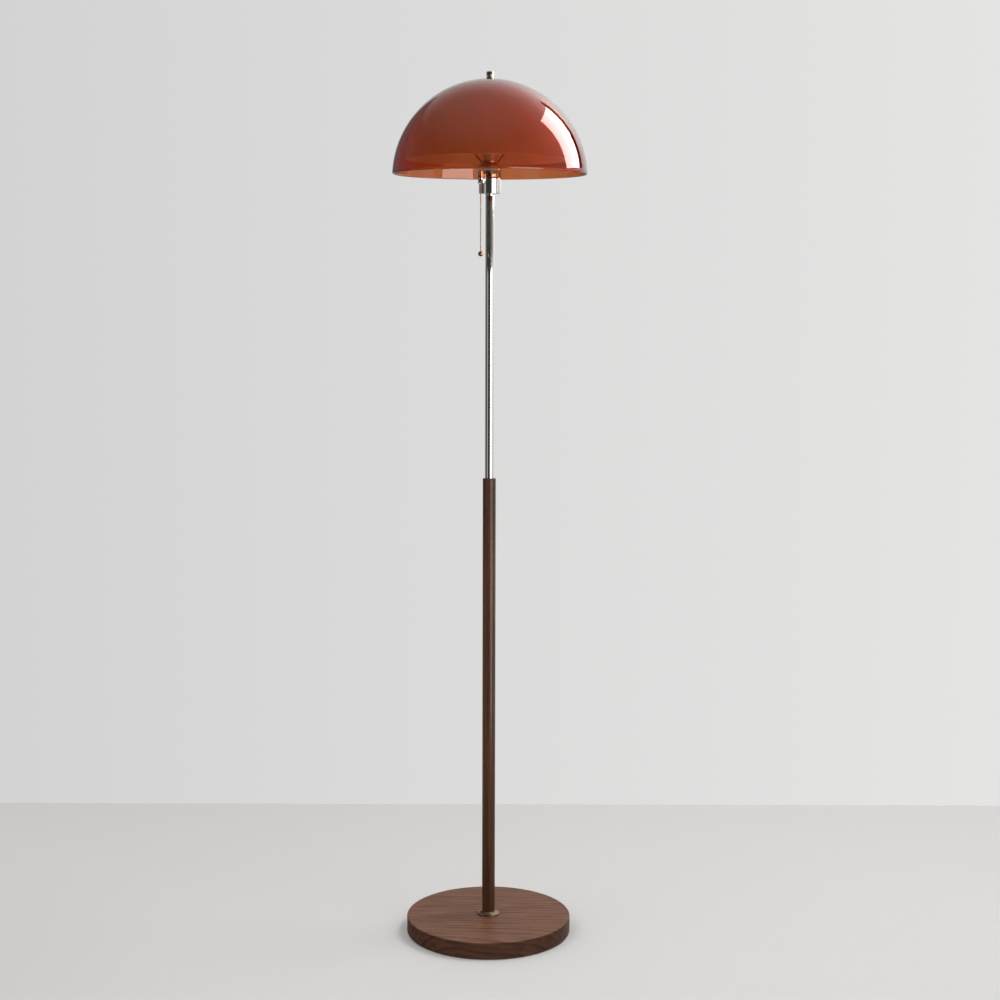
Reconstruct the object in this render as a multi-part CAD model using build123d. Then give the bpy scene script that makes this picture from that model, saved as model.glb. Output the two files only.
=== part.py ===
from build123d import *
import math
import os

# Dome-shaded floor lamp, in millimetres. Z is up, the floor is Z = 0, and the lamp's axis is
# X = Y = 0. The front of the lamp, the side with the pull chain, faces -Y.

# ---------------------------------------------------------------- driving dimensions

# Round wooden foot
BASE_DIAMETER = 305.0
BASE_THICKNESS = 30.0
BASE_EDGE_RADIUS = 2.0
PAD_THICKNESS = 2.0
PAD_INSET = 3.0
RECESS_DIAMETER = 232.0
RECESS_DEPTH = 14.0
WEIGHT_GAP = 2.0
WEIGHT_THICKNESS = 12.0
WEIGHT_CENTRE_DIAMETER = 48.0
WEIGHT_SCREW_CIRCLE = 160.0
WEIGHT_SCREW_COUNT = 3
CORD_HOLE_DIAMETER = 10.0
CORD_HOLE_HEIGHT = 10.0
CORD_GROOVE = 8.0
GROMMET_BORE = 7.0
GROMMET_LENGTH = 13.5
GROMMET_LIP = 1.2

# Stem: turned wooden pole below, metal tube above, one hollow tie pipe through the pole
POLE_DIAMETER = 24.0
POLE_TOP = 856.0
TUBE_DIAMETER = 16.0
TUBE_WALL = 1.2
TUBE_SEAT_DEPTH = 60.0
PIPE_DIAMETER = 9.8
PIPE_BORE = 7.6
FLANGE_DIAMETER = 41.0
FLANGE_HEIGHT = 7.0
FLANGE_SIDE = 2.4
PLUG_LENGTH = 16.0
THREAD_GAP = 0.05
FLAT_WASHER_THICKNESS = 2.0
LOCK_WASHER_THICKNESS = 0.9

# Socket cup and what stands in it
CUP_BOTTOM = 1368.0
CUP_DIAMETER = 40.0
CUP_HEIGHT = 52.0
CUP_WALL = 1.0
CUP_CORNER = 1.6
SADDLE_THICKNESS = 1.2
SADDLE_WIDTH = 8.0
NUT_ACROSS_FLATS = 14.0
NUT_HEIGHT = 4.5
SHELL_DIAMETER = 30.4
SHELL_WALL = 0.6
BLOCK_DIAMETER = 28.4
BLOCK_HEIGHT = 20.0
SCREW_SHELL_BORE = 26.4
SCREW_SHELL_WALL = 0.4
BULB_CAP_DIAMETER = 26.0
BULB_CAP_HEIGHT = 26.0
BULB_DIAMETER = 60.0
BULB_HEIGHT = 106.0
BULB_WALL = 1.2

# Harp: the wire loop that carries both domes on its stud
HARP_WIRE = 3.0
HARP_FOOT_RADIUS = 17.2
HARP_SHOULDER = 52.0
STUD_DIAMETER = 6.1
STUD_LENGTH = 19.0
STUD_CLEARANCE = 0.3
CLAMP_RADIUS = 10.0

# Outer amber dome: a spherical cap. Inner opal dome: half an ellipsoid
SHADE_DIAMETER = 350.0
SHADE_RIM = 1402.5
SHADE_HEIGHT = 168.0
SHADE_WALL = 3.0
DIFFUSER_DIAMETER = 302.0
DIFFUSER_RIM = 1428.5
DIFFUSER_TOP = 1563.8
DIFFUSER_WALL = 2.6
FINIAL_DIAMETER = 13.6
FINIAL_HEIGHT = 12.2
FINIAL_COLLAR = 2.8
FINIAL_GROOVE = 1.2
WASHER_THICKNESS = 0.8

# Pull chain: where it hangs, how far it is drawn, and the switch that it works
CHAIN_X = -16.3
CHAIN_Y = -21.0
CHAIN_TRAVEL = 8.0
BEAD_DIAMETER = 2.4
BEAD_PITCH = 3.4
CHAIN_WIRE = 0.8
CHAIN_BEADS = 34
BALL_DIAMETER = 9.4
BALL_NECK_DIAMETER = 3.4
BELL_MOUTH = 1385.5
BELL_TOP = 1412.0
BELL_DIAMETER = 11.6
BRIDGE_WIDTH = 6.0
BRIDGE_WALL = 1.1
BRIDGE_BOTTOM = 1386.2
BRIDGE_TOP = 1400.4
PIVOT_RADIUS = 6.6
PIVOT_HEIGHT = 1392.4
PIN_DIAMETER = 2.2
LEVER_THICKNESS = 2.0
LEVER_DEPTH = 2.4
EYE_DIAMETER = 5.8
EYE_THICKNESS = 1.4
EYE_HOLE = 1.9
PAWL_ANGLE = 115.0
RATCHET_TEETH = 16
RATCHET_DIAMETER = 9.6
TOOTH_DEPTH = 0.9
WHEEL_THICKNESS = 1.6
SIDE_GAP = 0.3
CHAMBER_WIDTH = 11.6
CHAMBER_HEIGHT = 12.9

# ---------------------------------------------------------------- worked-out places

BASE_TOP = PAD_THICKNESS + BASE_THICKNESS
BASE_RADIUS = BASE_DIAMETER / 2
RECESS_RADIUS = RECESS_DIAMETER / 2
RECESS_TOP = PAD_THICKNESS + RECESS_DEPTH
WEIGHT_BOTTOM = PAD_THICKNESS + WEIGHT_GAP
WEIGHT_TOP = WEIGHT_BOTTOM + WEIGHT_THICKNESS
CORD_HOLE_RADIUS = CORD_HOLE_DIAMETER / 2
FLAT_WASHER_BOTTOM = RECESS_TOP - FLAT_WASHER_THICKNESS
LOCK_WASHER_BOTTOM = FLAT_WASHER_BOTTOM - LOCK_WASHER_THICKNESS

PIPE_RADIUS = PIPE_DIAMETER / 2
THREAD_RADIUS = PIPE_RADIUS + THREAD_GAP
BORE_RADIUS = PIPE_RADIUS + 0.4
TUBE_BOTTOM = POLE_TOP - TUBE_SEAT_DEPTH
TUBE_BORE_RADIUS = TUBE_DIAMETER / 2 - TUBE_WALL

CUP_RADIUS = CUP_DIAMETER / 2
CUP_TOP = CUP_BOTTOM + CUP_HEIGHT
CUP_FLOOR = CUP_BOTTOM + CUP_WALL
SADDLE_TOP = CUP_FLOOR + SADDLE_THICKNESS
NUT_TOP = SADDLE_TOP + NUT_HEIGHT
SHELL_RADIUS = SHELL_DIAMETER / 2
SHELL_BOTTOM = BELL_MOUTH + 0.4
BLOCK_RADIUS = BLOCK_DIAMETER / 2
BLOCK_BOTTOM = NUT_TOP + 4.5
BLOCK_TOP = BLOCK_BOTTOM + BLOCK_HEIGHT
SCREW_HEIGHT = BLOCK_TOP - 6
BULB_BOTTOM = BLOCK_TOP + 2.0
BULB_SEAT = BULB_BOTTOM + BULB_CAP_HEIGHT
HARP_FOOT = BLOCK_TOP + 6

SHADE_RADIUS = SHADE_DIAMETER / 2
SHADE_SPHERE = (SHADE_RADIUS ** 2 + SHADE_HEIGHT ** 2) / (2 * SHADE_HEIGHT)
SHADE_CENTRE = SHADE_RIM + SHADE_HEIGHT - SHADE_SPHERE
DIFFUSER_RADIUS = DIFFUSER_DIAMETER / 2
DIFFUSER_HEIGHT = DIFFUSER_TOP - DIFFUSER_RIM
STUD_HOLE = STUD_DIAMETER / 2 + STUD_CLEARANCE

CHAIN_RADIUS = math.hypot(CHAIN_X, CHAIN_Y)
CHAIN_ANGLE = math.degrees(math.atan2(CHAIN_Y, CHAIN_X))
LEVER_REACH = CHAIN_RADIUS - PIVOT_RADIUS
LEVER_TILT = math.degrees(math.atan2(CHAIN_TRAVEL / 2, LEVER_REACH))
LEVER_LENGTH = math.hypot(LEVER_REACH, CHAIN_TRAVEL / 2)
BEAD_RADIUS = BEAD_DIAMETER / 2
BEAD_HALF = math.sqrt(BEAD_RADIUS ** 2 - (CHAIN_WIRE / 2) ** 2)
SWING_HEIGHT = BELL_MOUTH - 0.6
CHAIN_TAIL = 1.2
CHAIN_END = SWING_HEIGHT - CHAIN_BEADS * BEAD_PITCH - BEAD_HALF - CHAIN_TAIL


def sphere_height(radius, sphere):
    """Height, above its centre, of a sphere's surface at a distance from the axis."""
    return math.sqrt(sphere ** 2 - radius ** 2)


def ellipse_height(radius, across, high):
    """Height, above its rim, of half an ellipse at a distance from the axis."""
    return high * math.sqrt(1 - (radius / across) ** 2)


SHADE_CROWN = SHADE_CENTRE + sphere_height(CLAMP_RADIUS, SHADE_SPHERE)
SHADE_SEAT = SHADE_CENTRE + sphere_height(CLAMP_RADIUS, SHADE_SPHERE - SHADE_WALL)
DIFFUSER_CROWN = DIFFUSER_RIM + ellipse_height(CLAMP_RADIUS, DIFFUSER_RADIUS, DIFFUSER_HEIGHT)
DIFFUSER_SEAT = DIFFUSER_RIM + ellipse_height(CLAMP_RADIUS, DIFFUSER_RADIUS - DIFFUSER_WALL,
                                              DIFFUSER_HEIGHT - DIFFUSER_WALL)


# ---------------------------------------------------------------- shared forms

def revolved(edges):
    """Solid of revolution about Z from the edges of a closed outline in (radius, height)."""
    return revolve(make_face(Plane.XZ * (Curve() + edges)), Axis.Z)


def turned(*steps):
    """Solid of revolution about Z, from an outline drawn anticlockwise as (radius, height).

    A number between two points makes that side an arc of that radius. The arc bulges out of
    the outline, or into it when the number is negative.
    """
    edges = []
    at = steps[0]
    bend = None
    for step in steps[1:] + (steps[0],):
        if isinstance(step, tuple):
            edges.append(RadiusArc(at, step, -bend) if bend else Line(at, step))
            at = step
            bend = None
        else:
            bend = step
    return revolved(edges)


def disc(radius, bottom, top):
    """Upright cylinder on the axis between two heights."""
    return Pos(0, 0, (bottom + top) / 2) * Cylinder(radius, top - bottom)


def ring(inner, outer, bottom, top):
    """Washer or sleeve on the axis between two heights."""
    return turned((inner, bottom), (outer, bottom), (outer, top), (inner, top))


def hex_nut(bottom):
    """Hexagon nut for the tie pipe's thread, with its corners cut back by a cone."""
    flat = NUT_ACROSS_FLATS / 2
    corner = flat / math.cos(math.pi / 6)
    top = bottom + NUT_HEIGHT
    cut = 0.7
    blank = Pos(0, 0, bottom) * extrude(RegularPolygon(corner, 6), NUT_HEIGHT)
    cone = turned((0, bottom), (flat, bottom), (corner + 0.1, bottom + cut),
                  (corner + 0.1, top - cut), (flat, top), (0, top))
    return (blank & cone) - disc(THREAD_RADIUS, bottom - 1, top + 1)


def chain_side():
    """Frame on the lamp's axis with X towards the pull chain and Z up."""
    return Location((0, 0, 0), (0, 0, CHAIN_ANGLE))


def harp_side():
    """Frame on the lamp's axis with X in the plane of the harp, square to the chain."""
    return Location((0, 0, 0), (0, 0, CHAIN_ANGLE + 90))


# ---------------------------------------------------------------- foot

def make_base_pad():
    """Thin non-slip disc glued under the foot."""
    return disc(BASE_RADIUS - PAD_INSET, 0, PAD_THICKNESS)


def cord_tunnel(radius, start, end):
    """Round bar along Y, at the height at which the cord enters the foot."""
    return Pos(0, (start + end) / 2, CORD_HOLE_HEIGHT) * Rot(90, 0, 0) * Cylinder(
        radius, end - start)


def weight_screw_spots():
    """Places of the screws that hold the weight."""
    return PolarLocations(WEIGHT_SCREW_CIRCLE / 2, WEIGHT_SCREW_COUNT, start_angle=30)


def make_base_disc():
    """Wooden foot with eased edges, a recess for the weight and a tunnel for the cord."""
    edge = BASE_EDGE_RADIUS
    low = PAD_THICKNESS
    foot = turned((BORE_RADIUS, RECESS_TOP), (RECESS_RADIUS, RECESS_TOP), (RECESS_RADIUS, low),
                  (BASE_RADIUS - 1, low), (BASE_RADIUS, low + 1),
                  (BASE_RADIUS, BASE_TOP - edge), edge, (BASE_RADIUS - edge, BASE_TOP),
                  (BORE_RADIUS, BASE_TOP))
    foot -= cord_tunnel(CORD_HOLE_RADIUS, RECESS_RADIUS - 5, BASE_RADIUS + 5)
    foot -= cord_tunnel(CORD_HOLE_RADIUS + 2.3, BASE_RADIUS - GROMMET_LIP, BASE_RADIUS + 5)
    for spot in weight_screw_spots():
        foot -= spot * disc(2.0, RECESS_TOP - 1, RECESS_TOP + 10)
    return foot


def make_base_weight():
    """Cast plate in the recess, with a groove for the cord on its upper face."""
    plate = ring(WEIGHT_CENTRE_DIAMETER / 2, RECESS_RADIUS - 2, WEIGHT_BOTTOM, WEIGHT_TOP)
    plate -= Pos(0, 0, WEIGHT_TOP) * Box(CORD_GROOVE, RECESS_RADIUS, CORD_GROOVE,
                                         align=(Align.CENTER, Align.MIN, Align.MAX))
    countersink = turned((0, WEIGHT_BOTTOM - 0.1), (4.9, WEIGHT_BOTTOM - 0.1),
                         (2.4, WEIGHT_BOTTOM + 2.6), (2.4, WEIGHT_TOP + 1), (0, WEIGHT_TOP + 1))
    for spot in weight_screw_spots():
        plate -= spot * countersink
    return plate


def make_weight_screws():
    """Countersunk wood screws, driven up through the weight."""
    screw = turned((0, WEIGHT_BOTTOM), (4.6, WEIGHT_BOTTOM), (1.9, WEIGHT_BOTTOM + 2.7),
                   (1.9, RECESS_TOP + 7), (0, RECESS_TOP + 9.5))
    screw -= Pos(0, 0, WEIGHT_BOTTOM) * Box(1.2, 8, 1.6)
    return [spot * screw for spot in weight_screw_spots()]


def make_cord_grommet():
    """Flanged bush that lines the cord's way in at the back of the foot."""
    sleeve = cord_tunnel(CORD_HOLE_RADIUS - 0.1, BASE_RADIUS - GROMMET_LENGTH, BASE_RADIUS)
    lip = cord_tunnel(CORD_HOLE_RADIUS + 2, BASE_RADIUS - GROMMET_LIP, BASE_RADIUS)
    bore = cord_tunnel(GROMMET_BORE / 2, BASE_RADIUS - GROMMET_LENGTH - 1, BASE_RADIUS + 1)
    return sleeve + lip - bore


def make_base_washer():
    """Flat washer that bears on the roof of the recess."""
    return ring(BORE_RADIUS, 13, FLAT_WASHER_BOTTOM, RECESS_TOP)


def make_base_lock_washer():
    """Toothed washer between the flat washer and the nut."""
    washer = ring(BORE_RADIUS, 9.4, LOCK_WASHER_BOTTOM, FLAT_WASHER_BOTTOM)
    for gap in PolarLocations(9.6, 12):
        washer -= gap * Pos(0, 0, LOCK_WASHER_BOTTOM) * Box(2.4, 1.6, 4)
    return washer


def make_base_nut():
    """Nut that draws the whole stem down on to the foot."""
    return hex_nut(LOCK_WASHER_BOTTOM - NUT_HEIGHT)


# ---------------------------------------------------------------- stem

def make_pole_flange():
    """Spun collar round the pole's foot: a low rounded side under a hollow flare."""
    bore = POLE_DIAMETER / 2 + 0.1
    rim = FLANGE_DIAMETER / 2
    side = BASE_TOP + FLANGE_SIDE
    top = BASE_TOP + FLANGE_HEIGHT
    return turned((bore, BASE_TOP), (rim - 0.8, BASE_TOP), 1.0, (rim, BASE_TOP + 0.8),
                  (rim, side - 0.9), 1.3, (rim - 1.5, side + 0.3), -9, (bore + 1.3, top),
                  (bore, top))


def make_wood_pole():
    """Turned pole, bored through for the tie pipe and counterbored for the tube."""
    radius = POLE_DIAMETER / 2
    ease = 0.7
    seat = TUBE_DIAMETER / 2 + 0.1
    return turned((BORE_RADIUS, BASE_TOP), (radius - ease, BASE_TOP), (radius, BASE_TOP + ease),
                  (radius, POLE_TOP - ease), ease, (radius - ease, POLE_TOP), (seat, POLE_TOP),
                  (seat, TUBE_BOTTOM), (BORE_RADIUS, TUBE_BOTTOM))


def make_tie_pipe():
    """Hollow threaded pipe from the nut in the foot to the plug in the tube."""
    return ring(PIPE_BORE / 2, PIPE_RADIUS, PAD_THICKNESS + 3, TUBE_BOTTOM + PLUG_LENGTH - 2)


def threaded_plug(bottom):
    """Tapped bush brazed into an end of the tube."""
    return ring(THREAD_RADIUS, TUBE_BORE_RADIUS - THREAD_GAP, bottom, bottom + PLUG_LENGTH)


def make_tube_lower_plug():
    """Plug that the tie pipe screws into."""
    return threaded_plug(TUBE_BOTTOM)


def make_upper_tube():
    """Polished tube, seated in the pole and ending under the cup."""
    return ring(TUBE_BORE_RADIUS, TUBE_DIAMETER / 2, TUBE_BOTTOM, CUP_BOTTOM)


def make_tube_upper_plug():
    """Plug that the cup's nipple screws into."""
    return threaded_plug(CUP_BOTTOM - PLUG_LENGTH)


# ---------------------------------------------------------------- cup and socket

def switch_window(gap, inner):
    """Block towards the chain that cuts a window for the switch's bridge."""
    height = BRIDGE_TOP - BRIDGE_BOTTOM + 2 * gap
    return chain_side() * Pos(inner, 0, BRIDGE_BOTTOM - gap) * Box(
        CUP_DIAMETER, BRIDGE_WIDTH + 2 * gap, height, align=(Align.MIN, Align.CENTER, Align.MIN))


def make_socket_cup():
    """Deep straight cup with a small bottom radius, a rounded lip and the switch's window."""
    hole = BORE_RADIUS
    inner = CUP_RADIUS - CUP_WALL
    lip = CUP_WALL / 2
    cup = turned((hole, CUP_BOTTOM), (CUP_RADIUS - CUP_CORNER, CUP_BOTTOM), CUP_CORNER,
                 (CUP_RADIUS, CUP_BOTTOM + CUP_CORNER), (CUP_RADIUS, CUP_TOP - lip), lip,
                 (inner, CUP_TOP - lip), (inner, CUP_FLOOR), (hole, CUP_FLOOR))
    return cup - switch_window(0, 10)


def make_cup_nipple():
    """Short hollow nipple that ties the tube, cup, saddle and socket cap together."""
    return ring(PIPE_BORE / 2, PIPE_RADIUS, CUP_BOTTOM - PLUG_LENGTH + 2, NUT_TOP + 4)


def make_harp_saddle():
    """Strip with a round middle, bent up at both ends to carry the harp's feet."""
    half = HARP_FOOT_RADIUS + SADDLE_THICKNESS / 2
    height = HARP_FOOT - CUP_FLOOR
    low = (Align.CENTER, Align.CENTER, Align.MIN)
    strip = Pos(0, 0, CUP_FLOOR) * Box(2 * half, SADDLE_WIDTH, height, align=low)
    strip -= Pos(0, 0, SADDLE_TOP) * Box(2 * (half - SADDLE_THICKNESS), 2 * SADDLE_WIDTH, height,
                                         align=low)
    strip += disc(9, CUP_FLOOR, SADDLE_TOP)
    strip -= disc(BORE_RADIUS, CUP_FLOOR - 1, SADDLE_TOP + 1)
    return harp_side() * strip


def make_cup_lock_nut():
    """Nut that clamps the saddle and the cup on the tube."""
    return hex_nut(SADDLE_TOP)


def make_socket_cap():
    """Spun lower part of the socket's case, screwed on the nipple."""
    low = NUT_TOP + 0.4
    top = SHELL_BOTTOM - 0.1
    inner = SHELL_RADIUS - SHELL_WALL
    return turned((THREAD_RADIUS, low), (8, low), (SHELL_RADIUS, BLOCK_BOTTOM - 0.3),
                  (SHELL_RADIUS, top), (inner, top), (inner, BLOCK_BOTTOM),
                  (7.6, low + SHELL_WALL), (THREAD_RADIUS, low + SHELL_WALL))


def make_switch_block():
    """Moulded block that holds the switch, with a chamber open towards the chain."""
    block = disc(BLOCK_RADIUS, BLOCK_BOTTOM, BLOCK_TOP)
    chamber = Pos(PIVOT_RADIUS - CHAMBER_HEIGHT / 2, 0, PIVOT_HEIGHT - 0.45) * Box(
        BLOCK_DIAMETER, CHAMBER_WIDTH, CHAMBER_HEIGHT, align=(Align.MIN, Align.CENTER, Align.CENTER))
    pin_hole = Pos(PIVOT_RADIUS, 0, PIVOT_HEIGHT) * Rot(90, 0, 0) * Cylinder(
        PIN_DIAMETER / 2 + THREAD_GAP, BLOCK_DIAMETER)
    block -= chain_side() * (chamber + pin_hole)
    for side in (-1, 1):
        block -= harp_side() * Pos(side * (BLOCK_RADIUS - 0.2), 0, SCREW_HEIGHT) * Box(3, 9, 9)
    return block - disc(2.2, BLOCK_TOP - 1.2, BLOCK_TOP + 1)


def make_terminal_screws():
    """Two binding screws on the flats of the moulded block."""
    head = Cylinder(2.8, 1.4) - Pos(0, 0, 0.7) * Box(0.8, 7, 1.0)
    return [harp_side() * Pos(side * (BLOCK_RADIUS - 1.0), 0, SCREW_HEIGHT)
            * Rot(0, side * 90, 0) * head for side in (-1, 1)]


def make_centre_contact():
    """Sprung tongue under the bulb's tip, riveted in the block's top."""
    low = BLOCK_TOP + 0.25
    path = Polyline((-9, low), (-2, low), (3, BULB_BOTTOM - 0.4), (6, BULB_BOTTOM - 0.8))
    strip = make_face(offset(path, 0.2, kind=Kind.INTERSECTION, side=Side.BOTH))
    return extrude(Plane.XZ * strip, 3, both=True) + disc(2.0, BLOCK_TOP - 1.1, low)


def make_screw_shell():
    """Rolled shell that the bulb screws into, standing on the moulded block."""
    bore = SCREW_SHELL_BORE / 2
    outer = bore + SCREW_SHELL_WALL
    top = CUP_TOP - 1
    return turned((9.6, BLOCK_TOP), (outer, BLOCK_TOP), (outer, top - 0.8), (outer + 0.4, top),
                  (bore + 0.3, top), (bore, top - 0.8), (bore, BLOCK_TOP + SCREW_SHELL_WALL),
                  (9.6, BLOCK_TOP + SCREW_SHELL_WALL))


def make_insulating_sleeve():
    """Fibre sleeve between the live parts and the outer shell."""
    return ring(14.3, 14.5, SHELL_BOTTOM, CUP_TOP - 0.8) - switch_window(0.3, 5)


def make_socket_shell():
    """Outer shell of the socket, slotted for the switch."""
    shell = ring(SHELL_RADIUS - SHELL_WALL, SHELL_RADIUS, SHELL_BOTTOM, CUP_TOP - 1.2)
    return shell - switch_window(0.3, 5)


def make_bulb_cap():
    """Bulb's screw cap with its insulator and tip."""
    radius = BULB_CAP_DIAMETER / 2
    return turned((0, BULB_BOTTOM), (3.2, BULB_BOTTOM), (4.5, BULB_BOTTOM + 1.2),
                  (10.5, BULB_BOTTOM + 4), (radius, BULB_BOTTOM + 5.5), (radius, BULB_SEAT - 1),
                  (radius - 0.8, BULB_SEAT), (0, BULB_SEAT))


def bulb_outline(inset):
    """Edges of the bulb's profile, from its neck to its crown, inset by a wall."""
    radius = BULB_DIAMETER / 2 - inset
    neck = (BULB_CAP_DIAMETER / 2 - 0.4 - inset, BULB_SEAT)
    centre = BULB_BOTTOM + BULB_HEIGHT - BULB_DIAMETER / 2
    start = math.radians(-35)
    middle = math.radians(40)
    join = (radius * math.cos(start), centre + radius * math.sin(start))
    over = (radius * math.cos(middle), centre + radius * math.sin(middle))
    side = TangentArc(join, neck, tangent=(math.sin(start), -math.cos(start)))
    return [side, ThreePointArc(join, over, (0, centre + radius))]


def make_bulb_glass():
    """Pear-shaped opal envelope, open at the neck where the cap closes it."""
    outer = bulb_outline(0)
    inner = bulb_outline(BULB_WALL)
    return revolved(outer + inner + [Line(outer[0] @ 1, inner[0] @ 1),
                                     Line(outer[1] @ 1, inner[1] @ 1)])


# ---------------------------------------------------------------- harp and domes

def make_harp():
    """Wire loop round the bulb, with the platform and stud for the domes."""
    seat_bottom = DIFFUSER_SEAT - 3.1
    corners = [(0, 0, seat_bottom), (24, 0, seat_bottom),
               (HARP_SHOULDER, 0, HARP_FOOT + 100), (HARP_SHOULDER, 0, HARP_FOOT + 52),
               (HARP_FOOT_RADIUS, 0, HARP_FOOT + 18), (HARP_FOOT_RADIUS, 0, HARP_FOOT)]
    path = FilletPolyline(*corners, radius=[22, 34, 26, 14])
    section = Plane(origin=corners[0], z_dir=(1, 0, 0)) * Circle(HARP_WIRE / 2)
    wire = sweep(section, path=path)
    seat = disc(9, seat_bottom, DIFFUSER_SEAT)
    stud = disc(STUD_DIAMETER / 2, DIFFUSER_SEAT - 0.5, DIFFUSER_SEAT + STUD_LENGTH)
    return harp_side() * (wire + mirror(wire, Plane.YZ) + seat + stud)


def make_diffuser():
    """Inner opal dome, half an ellipsoid with a flat clamping seat at its crown."""
    inner = DIFFUSER_RADIUS - DIFFUSER_WALL
    low = DIFFUSER_HEIGHT - DIFFUSER_WALL
    rim = (0, DIFFUSER_RIM)
    outer_arc = math.degrees(math.acos(CLAMP_RADIUS / DIFFUSER_RADIUS))
    inner_arc = math.degrees(math.acos(CLAMP_RADIUS / inner))
    return revolved([
        EllipticalCenterArc(rim, DIFFUSER_RADIUS, DIFFUSER_HEIGHT, 0, arc_size=outer_arc),
        Line((CLAMP_RADIUS, DIFFUSER_CROWN), (STUD_HOLE, DIFFUSER_CROWN)),
        Line((STUD_HOLE, DIFFUSER_CROWN), (STUD_HOLE, DIFFUSER_SEAT)),
        Line((STUD_HOLE, DIFFUSER_SEAT), (CLAMP_RADIUS, DIFFUSER_SEAT)),
        EllipticalCenterArc(rim, inner, low, 0, arc_size=inner_arc),
        Line((inner, DIFFUSER_RIM), (DIFFUSER_RADIUS, DIFFUSER_RIM))])


def make_shade():
    """Outer amber dome, a spherical cap with a flat clamping seat at its crown."""
    inner = SHADE_SPHERE - SHADE_WALL
    inner_rim = sphere_height(SHADE_RIM - SHADE_CENTRE, inner)
    return turned((inner_rim, SHADE_RIM), (SHADE_RADIUS, SHADE_RIM),
                  SHADE_SPHERE, (CLAMP_RADIUS, SHADE_CROWN), (STUD_HOLE, SHADE_CROWN),
                  (STUD_HOLE, SHADE_SEAT), (CLAMP_RADIUS, SHADE_SEAT), -inner)


def make_shade_spacer():
    """Moulded washer that holds the two domes apart."""
    return ring(STUD_HOLE, CLAMP_RADIUS - 0.5, DIFFUSER_CROWN, SHADE_SEAT)


def make_shade_washer():
    """Thin washer under the finial."""
    return ring(STUD_HOLE, FINIAL_DIAMETER / 2 + 0.6, SHADE_CROWN,
                SHADE_CROWN + WASHER_THICKNESS)


def make_finial():
    """Turned knob: a collar, a groove and a rounded head, blind-tapped for the stud."""
    radius = FINIAL_DIAMETER / 2
    waist = radius - 1.9
    bottom = SHADE_CROWN + WASHER_THICKNESS
    collar = bottom + FINIAL_COLLAR
    head = collar + FINIAL_GROOVE
    top = bottom + FINIAL_HEIGHT
    bore = STUD_DIAMETER / 2 + 0.08
    depth = DIFFUSER_SEAT + STUD_LENGTH + 0.5
    return turned((bore, bottom), (radius - 0.5, bottom), (radius, bottom + 0.5),
                  (radius, collar - 0.5), (radius - 0.5, collar), (waist, collar), (waist, head),
                  (radius - 0.4, head), (radius, head + 0.4), (radius, top - 2.2), 2.2,
                  (radius - 2.2, top), (0, top), (0, depth), (bore, depth))


# ---------------------------------------------------------------- pull-chain switch

def make_chain_bell():
    """Thimble that guides the chain, cast with the bridge that covers the lever."""
    radius = BELL_DIAMETER / 2
    bell = turned((0, BELL_MOUTH), (4.9, BELL_MOUTH), (5.3, BELL_MOUTH + 0.5), -9,
                  (4.5, BELL_MOUTH + 4), (radius, BELL_MOUTH + 7), (radius, BELL_TOP - radius),
                  radius, (0, BELL_TOP))
    bore = turned((0, BELL_MOUTH - 1), (4.2, BELL_MOUTH - 1), (3.7, BELL_MOUTH + 4),
                  (4.7, BELL_MOUTH + 7.4), (4.7, BELL_TOP - 6), (2, BELL_TOP - 2.4),
                  (0, BELL_TOP - 2.4))
    inner = SHELL_RADIUS - 0.3
    height = BRIDGE_TOP - BRIDGE_BOTTOM
    outward = (Align.MIN, Align.CENTER, Align.MIN)
    bridge = Pos(inner, 0, BRIDGE_BOTTOM) * Box(CHAIN_RADIUS - inner, BRIDGE_WIDTH, height,
                                                align=outward)
    passage = Pos(inner - 1, 0, BRIDGE_BOTTOM + BRIDGE_WALL) * Box(
        CHAIN_RADIUS - inner + 1, BRIDGE_WIDTH - 2 * BRIDGE_WALL, height - 2 * BRIDGE_WALL,
        align=outward)
    place = Pos(CHAIN_RADIUS, 0, 0)
    return chain_side() * ((place * bell + bridge) - (place * bore + passage))


def at_pivot():
    """Frame on the lever's pivot, with X along the resting lever and Y along the pin."""
    return chain_side() * Pos(PIVOT_RADIUS, 0, PIVOT_HEIGHT) * Rot(0, -LEVER_TILT, 0)


def across_pin(radius, start, end):
    """Cylinder that lies along the pin between two distances from the lever's middle."""
    return Pos(0, (start + end) / 2, 0) * Rot(90, 0, 0) * Cylinder(radius, end - start)


def make_switch_pin():
    """Cross pin that the lever and the ratchet wheel turn on."""
    return at_pivot() * across_pin(PIN_DIAMETER / 2, -9, 9)


def make_pull_lever():
    """Flat lever with a hub on the pin, a pawl over the ratchet and an eye for the chain."""
    half = LEVER_THICKNESS / 2
    hub_radius = 3.2
    pawl_width = 1.6
    rim_gap = 0.4
    tooth_pin = 0.5
    pawl_reach = RATCHET_DIAMETER / 2 + rim_gap + tooth_pin
    beam = LEVER_LENGTH - EYE_DIAMETER / 4
    outward = (Align.MIN, Align.CENTER)
    blank = Circle(hub_radius) + Rectangle(beam, LEVER_DEPTH, align=outward)
    blank += Rot(0, 0, -PAWL_ANGLE) * Rectangle(pawl_reach + pawl_width / 2, pawl_width,
                                                align=outward)
    blank -= Circle(PIN_DIAMETER / 2 + THREAD_GAP)
    lever = extrude(Plane.XZ * blank, half, both=True)
    lever += Rot(0, PAWL_ANGLE, 0) * Pos(pawl_reach, 0, 0) * across_pin(
        tooth_pin, 0, half + SIDE_GAP + WHEEL_THICKNESS)
    lever += Pos(LEVER_LENGTH, 0, 0) * Cylinder(EYE_DIAMETER / 2, EYE_THICKNESS)
    lever -= Pos(LEVER_LENGTH, 0, 0) * Cylinder(EYE_HOLE / 2, 2 * LEVER_DEPTH)
    return at_pivot() * lever


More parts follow.
